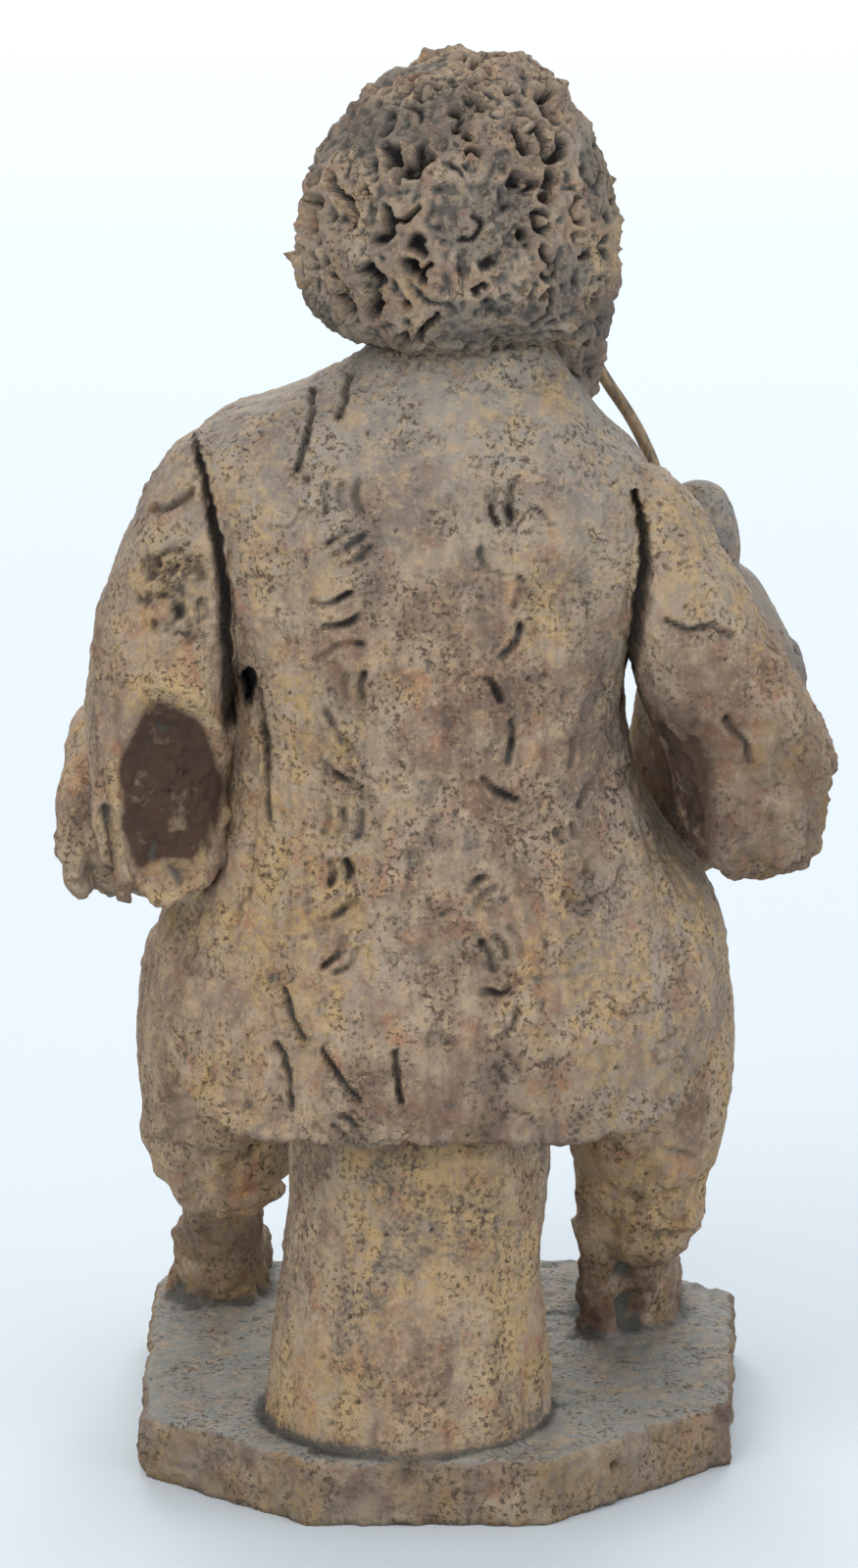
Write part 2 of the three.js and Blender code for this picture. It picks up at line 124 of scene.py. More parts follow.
def noise(p, size, seed=0, stretch=(1, 1, 1)):
    """Smooth noise from -1 to 1 with bumps about `size` mm across, drawn out by `stretch` along each axis."""
    q = p / (size * np.asarray(stretch, float)) + 0.37 * seed
    cell = np.floor(q).astype(np.int64)
    f = q - cell
    f = f * f * f * (f * (6 * f - 15) + 10)
    total = np.zeros(len(p))
    for dx in (0, 1):
        for dy in (0, 1):
            for dz in (0, 1):
                share = np.where(dx, f[:, 0], 1 - f[:, 0])
                share = share * np.where(dy, f[:, 1], 1 - f[:, 1]) * np.where(dz, f[:, 2], 1 - f[:, 2])
                total += share * lattice(cell[:, 0] + dx, cell[:, 1] + dy, cell[:, 2] + dz, seed)
    return 2 * total - 1


def rough(p, size, octaves=3, seed=0, stretch=(1, 1, 1)):
    """Noise added to itself at half the size and 0.55 of the height, `octaves` times."""
    return sum(0.55**k * noise(p, size / 2**k, seed + k, stretch) for k in range(octaves))


def warped(p, size, amount, seed=0):
    """The points moved by noise in all three directions, which frays any shape measured from them."""
    return p + amount * np.stack([noise(p, size, seed + k) for k in range(3)], axis=1)


print("noise spread:", noise(np.random.default_rng(1).uniform(-9, 9, (2000, 3)), 1.0).std().round(3))

# %% [markdown]
# ## Rolls and balls of clay
#
# A modeller starts from rolls, balls and slabs. A roll here is a section carried along a spline, with a
# width and a depth at each station and rounded ends. A ball is a sphere with three half sizes. Both are
# grids of points in two parameters, closed by a pole at each end.

# %% Rolls and balls
X_AXIS, _, Z_AXIS = np.eye(3)


def boxy_circle(angle, square):
    """Cosine and sine of the angle, each raised to 2/square with its sign kept: 2 is round, more is boxy."""
    c, s = np.cos(angle), np.sin(angle)
    return np.sign(c) * np.abs(c) ** (2 / square), np.sign(s) * np.abs(s) ** (2 / square)


def closed_skin(rings):
    """Points and triangles of a stack of rings (rows, around, 3), with a pole in the middle of each end."""
    rows, around, _ = rings.shape
    points = np.vstack([rings.reshape(-1, 3), rings[0].mean(0), rings[-1].mean(0)])
    j = np.arange(around)
    k = (j + 1) % around
    low = (np.arange(rows - 1) * around)[:, None]
    a, b, c, d = low + j, low + k, low + k + around, low + j + around
    sides = np.concatenate([np.stack([a, b, c], -1).reshape(-1, 3), np.stack([a, c, d], -1).reshape(-1, 3)])
    last = (rows - 1) * around
    first_cap = np.stack([k, j, np.full(around, rows * around)], -1)
    last_cap = np.stack([last + j, last + k, np.full(around, rows * around + 1)], -1)
    return points, np.concatenate([sides, first_cap, last_cap])


def roll(stations, across=X_AXIS, square=2.0, round_end=0.25, around=64, along=56):
    """Stations are rows of x, y, z, half width, half depth. A point is the spline's point, plus the boxy
    circle's cosine times the half width along `across` (made square to the spine), plus its sine times the
    half depth square to both. Each end closes like a quarter circle over `round_end` of the length."""
    stations = np.asarray(stations, float)
    even = np.linspace(0, 1, along + 1)
    t = (1 - np.cos(np.pi * even)) / 2 if round_end else even
    spine, size = spline(stations[:, :3], t), spline(stations[:, 3:], t)
    tangent = np.gradient(spine, axis=0)
    tangent /= np.linalg.norm(tangent, axis=1, keepdims=True)
    width = across - (tangent @ across)[:, None] * tangent
    width /= np.linalg.norm(width, axis=1, keepdims=True)
    depth = np.cross(width, tangent)
    end = np.minimum(1, np.minimum(t, 1 - t) / round_end) if round_end else np.ones_like(t)
    close = np.maximum(0.02, np.sqrt(1 - (1 - end) ** 2))[:, None]
    c, s = boxy_circle(np.linspace(0, 2 * np.pi, around, endpoint=False), square)
    rings = spine[:, None] + (size[:, :1] * close * c)[..., None] * width[:, None]
    return closed_skin(rings + (size[:, 1:] * close * s)[..., None] * depth[:, None])


def ball(at, sizes, square=2.0, around=56, rows=36):
    """A sphere scaled by three half sizes; `square` above 2 swells it towards the box that holds it."""
    c, s = boxy_circle(np.linspace(0, 2 * np.pi, around, endpoint=False), square)
    level, up = boxy_circle(np.linspace(-np.pi / 2, np.pi / 2, rows + 2)[1:-1], square)
    rings = np.stack([level[:, None] * c, level[:, None] * s, np.repeat(up[:, None], around, 1)], -1)
    return closed_skin(np.asarray(at, float) + rings * np.asarray(sizes, float))


def gathered(skins):
    """Several skins as one list of points and one of triangles."""
    starts = np.cumsum([0] + [len(points) for points, _ in skins[:-1]])
    points = np.vstack([points for points, _ in skins])
    return points, np.vstack([faces + start for (_, faces), start in zip(skins, starts)])


print("one ball:", [a.shape for a in ball((0, 0, 0), (1, 1, 1))])

# %% [markdown]
# ## Fusing and marking
#
# Wet clay pressed together leaves no inner walls. Blender's voxel remesher does the same: it fills the
# overlapping skins with small cubes and draws one even skin round them. That skin is then moved along its
# own normals by the marks, so a groove or a crumb is real shape. At the end a collapse keeps the detail
# where the surface bends and spends fewer faces where it is plain.

# %% Meshes in and out of numpy
def mesh_of(name, points, faces):
    """A Blender mesh from arrays of points and of same-sided faces."""
    faces = np.asarray(faces)
    mesh = bpy.data.meshes.new(name)
    mesh.vertices.add(len(points))
    mesh.loops.add(faces.size)
    mesh.polygons.add(len(faces))
    mesh.vertices.foreach_set("co", np.asarray(points, np.float32).ravel())
    mesh.loops.foreach_set("vertex_index", faces.astype(np.int32).ravel())
    mesh.polygons.foreach_set("loop_start", np.arange(0, faces.size, faces.shape[1], dtype=np.int32))
    mesh.update(calc_edges=True)
    return mesh


def arrays_of(mesh, sides):
    """The points and the faces of a mesh whose faces all have the same number of sides."""
    points = np.empty(len(mesh.vertices) * 3, np.float32)
    corners = np.empty(len(mesh.loops), np.int32)
    mesh.vertices.foreach_get("co", points)
    mesh.loops.foreach_get("vertex_index", corners)
    return points.reshape(-1, 3).astype(float), corners.reshape(-1, sides)


def through(points, faces, kind, sides, **settings):
    """The arrays of a mesh after one modifier with these settings."""
    source = mesh_of("rough_out", points, faces)
    shell = bpy.data.objects.new("rough_out", source)
    bpy.context.collection.objects.link(shell)
    modifier = shell.modifiers.new(kind.lower(), kind)
    for name, value in settings.items():
        setattr(modifier, name, value)
    ready = shell.evaluated_get(bpy.context.evaluated_depsgraph_get())
    made = arrays_of(ready.to_mesh(), sides)
    ready.to_mesh_clear()
    bpy.data.objects.remove(shell)
    bpy.data.meshes.remove(source)
    return made


def fused(skins, cube):
    """One even skin of four-sided faces about `cube` mm across, round all the skins together."""
    points, faces = through(*gathered(skins), "REMESH", 4, mode="VOXEL", voxel_size=cube)
    print(f"fused {len(skins)} skins into {len(faces)} faces")
    return points, faces


def normals_of(points, faces):
    """A unit normal at each point: the sum of its faces' cross products of two diagonals or edges."""
    a, b, c = (points[faces[:, k]] for k in (0, 1, 2))
    cross = np.cross(b - a, c - a) if faces.shape[1] == 3 else np.cross(c - a, points[faces[:, 3]] - b)
    total = np.stack([
        sum(np.bincount(faces[:, k], cross[:, axis], len(points)) for k in range(faces.shape[1]))
        for axis in range(3)
    ], axis=1)
    return total / np.maximum(np.linalg.norm(total, axis=1, keepdims=True), 1e-12)


def settled(values, faces, rounds, keep=0.4):
    """Each point's value mixed with the mean of its neighbours, `rounds` times: share `keep` stays."""
    sides = faces.shape[1]
    start = faces.ravel()
    stop = np.roll(faces, -1, axis=1).ravel()
    count = np.maximum(np.bincount(start, minlength=len(values)), 1)
    for _ in range(rounds):
        sums = [np.bincount(start, column[stop], len(values)) for column in values.T]
        mean = np.stack(sums, axis=1) / count[:, None]
        values = keep * values + (1 - keep) * mean
    return values


def hollowness(points, faces, rounds):
    """How far each point lies below the level of its neighbourhood, in mm: positive in a hollow."""
    return np.sum((settled(points, faces, rounds) - points) * normals_of(points, faces), axis=1)


def one_skin(points, faces):
    """Only the largest joined skin, without bubbles shut inside it. Every point starts with its own number,
    and takes the lowest number among its neighbours until no number changes."""
    label = np.arange(len(points))
    start, stop = faces.ravel(), np.roll(faces, -1, axis=1).ravel()
    while True:
        low = label.copy()
        np.minimum.at(low, start, label[stop])
        np.minimum.at(low, stop, label[start])
        low = low[low]
        if np.array_equal(low, label):
            break
        label = low
    kept = label == np.bincount(label).argmax()
    return points[kept], (np.cumsum(kept) - 1)[faces[kept[faces[:, 0]]]]


def facing_out(points, corners):
    """The triangles, turned round if they face inwards. Each triangle and the origin span a small volume,
    and the sum of those volumes is negative for a skin that is inside out."""
    a, b, c = (points[corners[:, k]] for k in range(3))
    return corners if np.sum(a * np.cross(b, c)) > 0 else corners[:, ::-1]


def finished(name, points, faces, marks, most=190000):
    """The piece in metres, thinned to `most` triangles, with each mark stored as a number at its points.
    `marks` works them out from the points, so they fit whatever points the thinning keeps."""
    points, faces = one_skin(points, faces)
    corners = faces if faces.shape[1] == 3 else np.vstack([faces[:, [0, 1, 2]], faces[:, [0, 2, 3]]])
    if len(corners) > most:
        points, corners = through(points, corners, "DECIMATE", 3, ratio=most / len(corners))
    points, corners = one_skin(points, facing_out(points, corners))
    mesh = mesh_of(name, points * MM, corners)
    for label, values in marks(points, corners).items():
        mesh.attributes.new(label, "FLOAT", "POINT").data.foreach_set("value", values.astype(np.float32))
    mesh.shade_smooth()
    piece = bpy.data.objects.new(name, mesh)
    bpy.context.collection.objects.link(piece)
    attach(piece, "root")
    print(f"{name}: {len(corners)} triangles")
    return piece

# %% [markdown]
# ## Places on the coat's back
#
# The piper sits with the back of the coat to the viewer, so the marks there are placed by x and height as
# seen from behind. Each mark is measured from a line: the distance from the line says how deep the tool
# went. A scratch pushes clay up at both its sides, so a low burr runs along it.

# %% Lines, grooves and cracks
FAR = 9.0  # the distance given to points that a mark doesn't reach


def line_distance(p, line):
    """Distance in mm of each point (x, z) from the nearest stretch of a bent line of (x, z) corners."""
    line = np.asarray(line, float)
    best = np.full(len(p), 1e9)
    for start, stop in zip(line[:-1], line[1:]):
        way = stop - start
        t = np.clip((p - start) @ way / (way @ way), 0, 1)
        best = np.minimum(best, np.hypot(*(p - start - t[:, None] * way).T))
    return best


def nearest(p, lines):
    """Distance of each point (x, z) from the nearest of many bent lines."""
    best = np.full(len(p), 1e9)
    for line in lines:
        best = np.minimum(best, line_distance(p, line))
    return best


def scratch(distance, half_width, deep, burr):
    """The height of a scratch: -deep inside it, a burr at 1.65 half widths, nothing further out."""
    cut = 1 - smooth(0.45 * half_width, 1.15 * half_width, distance)
    lip = np.exp(-(((distance - 1.65 * half_width) / (0.5 * half_width)) ** 2))
    return burr * lip * (1 - cut) - deep * cut


def crack(start, heading, length, rng, step=0.7, wander=0.75):
    """A bent line that sets out from `start` at `heading` radians and turns a little at each step."""
    turns = heading + np.cumsum(rng.normal(0, wander, max(2, int(length / step))))
    steps = step * np.stack([np.cos(turns), np.sin(turns)], axis=1)
    return np.vstack([start, np.asarray(start) + np.cumsum(steps, axis=0)])


print("scratch, floor and burr:", scratch(np.array([0.0, 1.65]), 1.0, 0.5, 0.1).round(2))

# %% [markdown]
# ## Rows of marks down the back
#
# Three columns of shallow stylus strokes run down the coat's back. They are plain bowed ticks in groups of
# one to three that lean the same way and never touch, so they read as worked marks and spell nothing.

# %% Stylus ticks
TICK_COLUMNS = [  # middle x, half width, top, bottom, mean spacing, length of the longest tick
    (13.2, 5.6, 147.0, 60.5, 3.7, 7.6),
    (-8.3, 5.4, 146.0, 63.0, 3.6, 7.2),
    (-18.4, 2.3, 111.0, 86.0, 3.4, 4.2),
]
LONG_CUTS = [  # cut with more force, as (x, z) corners
    [(21.6, 77.0), (20.6, 73.6), (18.6, 70.6)],
    [(22.4, 69.6), (20.8, 66.0), (20.6, 61.2)],
    [(16.2, 69.4), (14.2, 65.8), (11.2, 62.4)],
    [(17.0, 160.4), (17.4, 154.8), (19.2, 148.6)],
    [(12.2, 159.6), (12.8, 157.0), (13.6, 155.0)],
    [(6.4, 69.0), (5.6, 62.4)],
]
SEAM_LINE = [(24.4, 117.5), (23.6, 110.0), (23.4, 99.5)]
TICK_GAP, TICK_CLEAR = 2.1, 2.5


def tick_lines():
    """Down each column, small groups of one to three bowed strokes. The strokes of a group lie side by side
    and lean the same way, TICK_GAP apart. The next group starts 1.3 to 2.2 mm below the last one's reach,
    and a stroke that would come within TICK_CLEAR of an earlier group or a long cut is left out."""
    rng = np.random.default_rng(29)
    lines = []
    for middle, half, top, bottom, spacing, longest in TICK_COLUMNS:
        z = top
        while z > bottom:
            strokes = rng.choice([1, 1, 2, 3])
            before = lines + LONG_CUTS
            lean = rng.uniform(0.15, 2.9)
            length = longest * rng.uniform(0.6, 1.15) / (1 + 0.4 * (strokes - 1))
            way = np.array([np.cos(lean), np.sin(lean)])
            aside = np.array([-way[1], way[0]])
            bow = rng.choice([-1, 1]) * rng.uniform(0.12, 0.34) * length
            reach = 0.5 * length * abs(way[1]) + TICK_GAP / 2 * (strokes - 1) * abs(aside[1])
            centre = np.array([middle + rng.normal(0, 0.8), z - reach])
            for k in range(strokes):
                at = centre + TICK_GAP * (k - (strokes - 1) / 2) * aside + rng.normal(0, 0.3) * way
                share = np.linspace(-0.5, 0.5, 6)[:, None] * rng.uniform(0.75, 1.1)
                line = at + share * length * way + bow * (0.25 - share**2) * 2 * aside
                if nearest(line, before).min() > TICK_CLEAR:
                    lines.append(line)
            z -= 2 * reach + rng.uniform(1.3, 0.6 * spacing)
    return lines


TICKS = tick_lines()
print("ticks down the back:", len(TICKS))

# %% [markdown]
# ## The coat
#
# On the real object the coat is one slab of clay wrapped round a core: plain at the back, drawn in at the
# waist, flared over the hips and rough along its cut hem, where it stands off the stump. It could be a
# bent sheet, but the core is solid, so it is made here as one closed body: level boxy sections from the
# neck down, turned under at the hem and closed off again by a shallow hollow.

# %% Coat body
COAT = [  # z, centre x, half width, centre y, half depth
    (57, 0.6, 39.2, 20, 26), (67, 0.2, 39.2, 19.6, 25.4), (79, 0, 36.4, 19.2, 23.6),
    (93, 1.2, 31, 19.2, 21.2), (105, 1.8, 28, 19.8, 19.6), (117, 1.8, 27.2, 20.2, 18.8),
    (128, 2, 30.6, 20.2, 18.2), (138, 2.2, 32.2, 20.2, 17.8), (146, 3.4, 31, 20, 17),
    (151, 4.6, 27, 19.4, 15.6), (155, 1.4, 20.8, 18.6, 13.8), (158.6, -1.4, 15.4, 18, 12.2),
    (162.5, -2.9, 10.8, 17, 10.6),
]
HEM_THICK, HEM_RISE, HEM_ROOF = 4.6, 13.0, 67.0


def hem_lift(angle):
    """The hem climbs from the back (angle 0) round the hips to the lap, in two soft steps."""
    turn = np.abs(angle)
    return HEM_RISE * smooth(0.6, 1.7, turn) + 5 * smooth(2, 2.9, turn)


def coat_ring(t, inset, angle):
    """One level section, `inset` mm inside the coat, at share t of its height. The angle is 0 at the back."""
    z, x, wide, y, deep = spline(COAT, np.array([t]))[0]
    square = 2.5 + 1.3 * smooth(0.35, 0.6, t) * (1 - smooth(0.75, 0.95, t))
    c, s = boxy_circle(angle, square)
    lift = hem_lift(angle) * (1 - smooth(0, 0.34, t))
    return np.stack([x + s * (wide - inset), y + c * (deep - inset), z + lift], axis=-1)


def coat_body():
    """Rings down the outside, round the hem in a half circle, and up the inside to the hollow's roof."""
    angle = np.linspace(-np.pi, np.pi, 220, endpoint=False)
    outside = [coat_ring(t, 0, angle) for t in np.linspace(1, 0, 120)]
    turn = np.linspace(0, np.pi, 9)[1:]
    hem = []
    for a in turn:
        ring = coat_ring(0, HEM_THICK * (1 - np.cos(a)) / 2, angle)
        ring[:, 2] -= 1.2 * np.sin(a)
        hem.append(ring)
    inside = []
    for share in np.linspace(0, 1, 12)[1:]:
        ring = hem[-1].copy()
        ring[:, 2] = np.maximum(ring[:, 2], ring[:, 2] + share * (HEM_ROOF - ring[:, 2]))
        inside.append(ring)
    return closed_skin(np.array(outside + hem + inside))


def lapel(side):
    """A turned-back band down one side of the chest, and the coat's front edge below it."""
    return roll([
        (side * 8, 10.5, 158, 3.2, 2.2), (side * 10, 4.6, 147, 5, 2.4), (side * 8, 2.2, 132, 5.2, 2.4),
        (side * 4.6, 1.6, 116, 3.6, 2.2), (side * 3.8, 0.2, 98, 3, 2.4), (side * 4.6, -2.8, 84, 3, 2.6),
    ], round_end=0.12)


NECK = roll([(-2.8, 18.4, 150, 11.4, 11), (-3, 16.4, 160, 10.4, 10.2), (-2.8, 14.4, 170, 10.4, 10.4)],
            round_end=0.05)
coat_points, coat_faces = fused([coat_body(), NECK, lapel(-1), lapel(1)], 0.42)

# %% [markdown]
# ### Working the coat
#
# The tools left their record in layers. Thumbs left broad dents. A scraper drawn downwards left faint
# upright ridges. The armholes are open grooves where the sleeves were pushed on, with a tear at the foot
# of the left one. Last come the stylus marks, a few drying cracks, pores, and the crumbled hem.

# %% Marks on the coat
ARMHOLES = [  # (x, z) from the shoulder down
    [(34.6, 153.5), (32.8, 150.0), (31.2, 143.5), (29.4, 133.0), (29.0, 121.0), (28.8, 112.0)],
    [(-26.2, 144.5), (-27.6, 138.0), (-26.8, 127.0), (-25.6, 118.5), (-25.4, 113.0)],
]


def coat_cracks():
    """Drying cracks near the hem, the hips and the shoulders, each from a start and a heading."""
    rng = np.random.default_rng(5)
    starts = [((32, 96), -1.9, 12), ((30, 84), -2.2, 8), ((-24, 74), -1.4, 9), ((-21, 92), -1.3, 12),
              ((-9, 60), -0.2, 11), ((9.5, 58.4), 0.5, 7), ((-22, 104), -1.7, 10), ((23, 141), -2.6, 9),
              ((-12, 131), -0.2, 8), ((-15, 141), -0.1, 9), ((33, 78), -1.4, 7), ((-31, 66), -0.6, 8)]
    return [crack(start, heading, length, rng) for start, heading, length in starts]


def pore_depth(p, holes):
    """1 in the middle of the nearest pinhole and 0 outside it."""
    depth = np.zeros(len(p))
    for *centre, radius in holes:
        near = np.abs(p - centre).max(axis=1) < radius
        d = np.linalg.norm(p[near] - centre, axis=1)
        depth[near] = np.maximum(depth[near], 1 - smooth(0.4 * radius, radius, d))
    return depth


CRACKS = coat_cracks()


def back_marks(p):
    """How far each point of the back lies from the nearest stylus tick, long cut, armhole, tear and crack.
    Ticks, cuts and cracks are in mm, armholes and the tear in shares of their half width."""
    seen = (p[:, 1] > 22) & (p[:, 2] > 54)
    frayed = warped(p[seen], 1.6, 0.3, 31)[:, [0, 2]]
    crumbled = warped(p[seen], 2.6, 0.55, 41)[:, [0, 2]]
    masks = {name: np.full(len(p), FAR) for name in ("ticks", "cuts", "arms", "tear", "cracks")}
    masks["ticks"][seen] = nearest(frayed, TICKS)
    masks["cuts"][seen] = nearest(frayed, LONG_CUTS + [SEAM_LINE])
    masks["arms"][seen] = nearest(frayed, ARMHOLES) / (0.5 + 0.42 * smooth(148, 134, frayed[:, 1]))
    masks["cracks"][seen] = nearest(crumbled, CRACKS)
    hole = (crumbled - (26.2, 117.6)) / (1.25, 2.9)
    masks["tear"][seen] = np.hypot(hole[:, 0], hole[:, 1])
    return masks


def thumbed(p, seed):
    """The broad unevenness of hand-pressed clay: dents of 24 mm, of 9 mm and of 4 mm, each shallower."""
    return 0.62 * noise(p, 24, seed) + 0.34 * rough(p, 9, 2, seed + 3) + 0.11 * rough(p, 3.6, 2, seed + 7)


def grainy(p, seed):
    """Grog and dried slip: grains of 1.3 mm down to 0.6 mm, with the odd proud crumb."""
    crumbs = smooth(0.5, 0.85, noise(p, 1.7, seed + 5))
    return 0.085 * rough(p, 1.3, 2, seed) + 0.22 * crumbs


def open_depth(masks):
    """How far the armholes and the tear go in, in mm. The armholes have steep sides and a flat bottom."""
    return 3.8 * (1 - smooth(0.55, 1.1, masks["arms"])) + 4.5 * (1 - smooth(0.6, 1.05, masks["tear"]))


def worked_coat(p, n):
    """The coat's points moved along their normals by all its marks."""
    back = smooth(18, 30, p[:, 1])
    low = 1 - smooth(58, 63, p[:, 2] - hem_lift(np.arctan2(p[:, 0] - 1, p[:, 1] - 20)))
    height = thumbed(p, 1) + grainy(p, 11)
    height += 0.2 * back * rough(p, 1.6, 2, 17, stretch=(1, 1, 9)) * smooth(152, 140, p[:, 2])
    height += 0.16 * back * smooth(0.1, 0.6, noise(p, 12, 19)) * rough(p, 2.4, 3, 21)
    height += 0.9 * low * rough(p, 4.2, 3, 61)
    height += 0.5 * smooth(0.35, 0.8, noise(p, 7, 71)) * noise(p, 1.6, 72)
    height -= 0.5 * smooth(0.42, 0.6, rough(p, 5.5, 3, 73)) * back
    height += 0.35 * back * smooth(130, 100, p[:, 2]) * rough(p, 3.4, 2, 75, stretch=(1, 1, 7))
    masks = back_marks(p)
    press = 0.45 + 0.55 * smooth(-0.5, 0.4, noise(p, 3.4, 25))
    height += press * scratch(masks["ticks"], 0.56, 0.85, 0.42)
    height += scratch(masks["cuts"], 0.45, 1.0, 0.34)
    height += scratch(masks["cracks"], 0.16, 0.4, 0.12)
    height -= 0.8 * pore_depth(p, COAT_PORES)
    moved = p + n * height[:, None]
    moved[:, 1] -= open_depth(masks)
    return moved


def pores_on(p, count, seed, radii=(0.3, 0.6)):
    """Pinholes centred on points of the skin itself, chosen at random."""
    rng = np.random.default_rng(seed)
    return np.column_stack([p[rng.choice(len(p), count, replace=False)], rng.uniform(*radii, count)])


PUNCHED_HOLES = [(-0.3, 41.5, 88.0, 1.0), (-31.5, 38.0, 70.0, 0.8)]
COAT_PORES = np.vstack([pores_on(coat_points, 80, 3, (0.25, 0.5)), PUNCHED_HOLES])
coat_normals = settled(normals_of(coat_points, coat_faces), coat_faces, 4)
coat_points = worked_coat(coat_points, coat_normals)


def inscribed_wash(p):
    """How much dark wash was rubbed in beside the columns of ticks, in upright smears, from 0 to 0.42."""
    band = np.maximum.reduce([np.exp(-(((p[:, 0] - c) / w) ** 2)) for c, w in ((12.5, 7), (-8, 7), (-18, 4))])
    smear = smooth(-0.2, 0.55, rough(p, 4, 3, 91, stretch=(1, 1, 1.8)))
    return 0.42 * band * smear * smooth(22, 30, p[:, 1]) * smooth(156, 140, p[:, 2])


def coat_look(points, faces):
    """The numbers that the clay's colour reads: painted shade in hollows, tool lines and under the hem, dust
    and wash on the coat.
    """
    masks = back_marks(points)
    arms = 0.6 * (1 - smooth(0.75, 1.15, masks["arms"]))
    tear = 1 - smooth(0.75, 1.15, masks["tear"])
    pressed_deeper = smooth(-0.15, 0.5, noise(points, 3.4, 25))
    # the ticks and long cuts are painted darker as shade, more where the stylus pressed deeper
    ticks = (1 - smooth(0.3, 0.72, masks["ticks"])) * (0.3 + 0.6 * pressed_deeper)
    ticks = np.maximum(ticks, (1 - smooth(0.25, 0.7, masks["cuts"])) * (0.45 + 0.4 * pressed_deeper))
    splits = 0.4 * (1 - smooth(0.08, 0.3, masks["cracks"]))
    return {
        "painted_recess_shade": smooth(0.12, 0.8, hollowness(points, faces, 40)),
        # painted shade in the armholes, the tear, the ticks, the cuts and the cracks
        "painted_groove_shade": np.clip(np.maximum.reduce([arms, tear, ticks, splits]), 0, 1),
        "dust": 0.7 * smooth(122, 166, points[:, 2]) + 0.2 * smooth(-16, -22, points[:, 0]),
        # painted shade under the turned hem and low on the coat's right side, plus the dark wash beside the
        # ticks
        "stain_and_painted_shade": np.clip(0.25 * smooth(78, 60, points[:, 2]) * smooth(14, -6, points[:, 0])
                         + 0.5 * smooth(58, 52, points[:, 2]) + 0.5 * inscribed_wash(points), 0, 1),
        "ochre": 0.4 * smooth(10, 28, points[:, 0]) * smooth(128, 100, points[:, 2]),
        "wash": inscribed_wash(points),
    }


coat = finished("coat", coat_points, coat_faces, coat_look)

# %% [markdown]
# ## Sleeves, hands and bag
#
# Each sleeve is a roll of clay pushed on at the shoulder and pinched into wide folds round the forearm. The
# left elbow still shows the hollow oval where the roll was folded over and not smoothed, painted dark inside
# as shade. The bag under the right arm was burnished with a wet finger, so it is smoother than the rest, and
# has a plugged stock on top.

# %% Arms
LEFT_ARM = [
    ([(30.4, 20, 151, 3.2, 8), (32.4, 21.4, 143.6, 6.6, 12.4), (35.2, 23, 131, 9.2, 14.2),
      (37.4, 24.4, 121, 10.2, 14.2), (38.8, 25.4, 108, 9.6, 12.4), (38.4, 26.4, 95, 8.4, 10.4),
      (38.2, 26.8, 86.6, 6.4, 7.6)], 2.6, 0.1),
    ([(40, 26, 100, 8, 9), (45.2, 17, 97.2, 6.8, 13.2), (45.6, 6, 96.6, 6.8, 13.6),
      (41.6, -7, 96.8, 7, 11.4), (34.6, -16.6, 96, 6.4, 9)], 2.2, 0.14),
    ([(49, 22, 106, 2.4, 4), (50, 21, 96, 2.8, 6.4), (49.4, 20, 84, 2.4, 5.2)], 2.0, 0.3),
]
RIGHT_ARM = [
    ([(-26, 20, 146, 3, 7.8), (-28.6, 21.4, 138.6, 6.6, 12), (-31.6, 23, 130, 8.4, 13.6),
      (-36, 25, 119, 9.8, 12.8), (-40.8, 27, 108.6, 10.8, 12), (-42.4, 28, 98, 10, 10.6),
      (-42.2, 28, 90.4, 8, 7.8)], 2.6, 0.1),
    ([(-43, 26, 103, 8, 8), (-48, 16, 103, 6.2, 6.6), (-49, 5, 102.4, 5.6, 6.2), (-48, -5, 101, 5, 5.6)],
     2.0, 0.16),
    ([(-43, 25, 95, 7.4, 6.4), (-48.4, 15, 94, 4.8, 5.4), (-49, 5, 94, 4.4, 5), (-47, -5, 96, 4.6, 5)],
     2.0, 0.16),
]
BAG = [
    ([(-37.6, -1.6, 127, 4, 4.4), (-38.6, -3.6, 120, 7.4, 9), (-39.2, -5, 113, 10.4, 12),
      (-39.4, -6.4, 106, 11.6, 13.4), (-38, -8.4, 97, 11.6, 13), (-33.4, -12, 89, 10, 10.6),
      (-26, -17, 85.6, 6.6, 7)], 2.0, 0.12),
    ([(-33.4, 0, 138.2, 3.6, 4), (-35.4, 0, 134.6, 4.8, 4.8), (-37.4, -0.6, 131, 4.2, 4.4),
      (-38.6, -3, 122, 4, 4)], 2.0, 0.25),
]
CHANTER = [(-30, -14, 90, 3, 3), (-14, -25, 90, 2.8, 2.8), (6, -34, 87, 2.8, 2.8), (19, -38.6, 84, 3.2, 3.2),
           (23, -40, 83, 4.6, 4.6)]


def hand(palm, knuckle, curl, spread, thumb):
    """A palm, a thumb and four fingers. Finger n starts n spreads from the first knuckle and bends by two
    steps: out along curl[0], then down along curl[1]."""
    skins = [roll(palm, Z_AXIS, round_end=0.2, around=28, along=20)]
    skins.append(roll(thumb, Z_AXIS, round_end=0.2, around=24, along=18))
    for n in range(4):
        start = np.asarray(knuckle) + n * np.asarray(spread)
        steps = [(-0.35, 0.0), (0.5, 0.1), (1.0, 1.0)]
        path = [start + out * np.array(curl[0]) + drop * np.array(curl[1]) for out, drop in steps]
        stations = [(*place, 2.5 - 0.2 * i, 2.4 - 0.2 * i) for i, place in enumerate(path)]
        skins.append(roll(stations, Z_AXIS, round_end=0.2, around=24, along=18))
    return skins


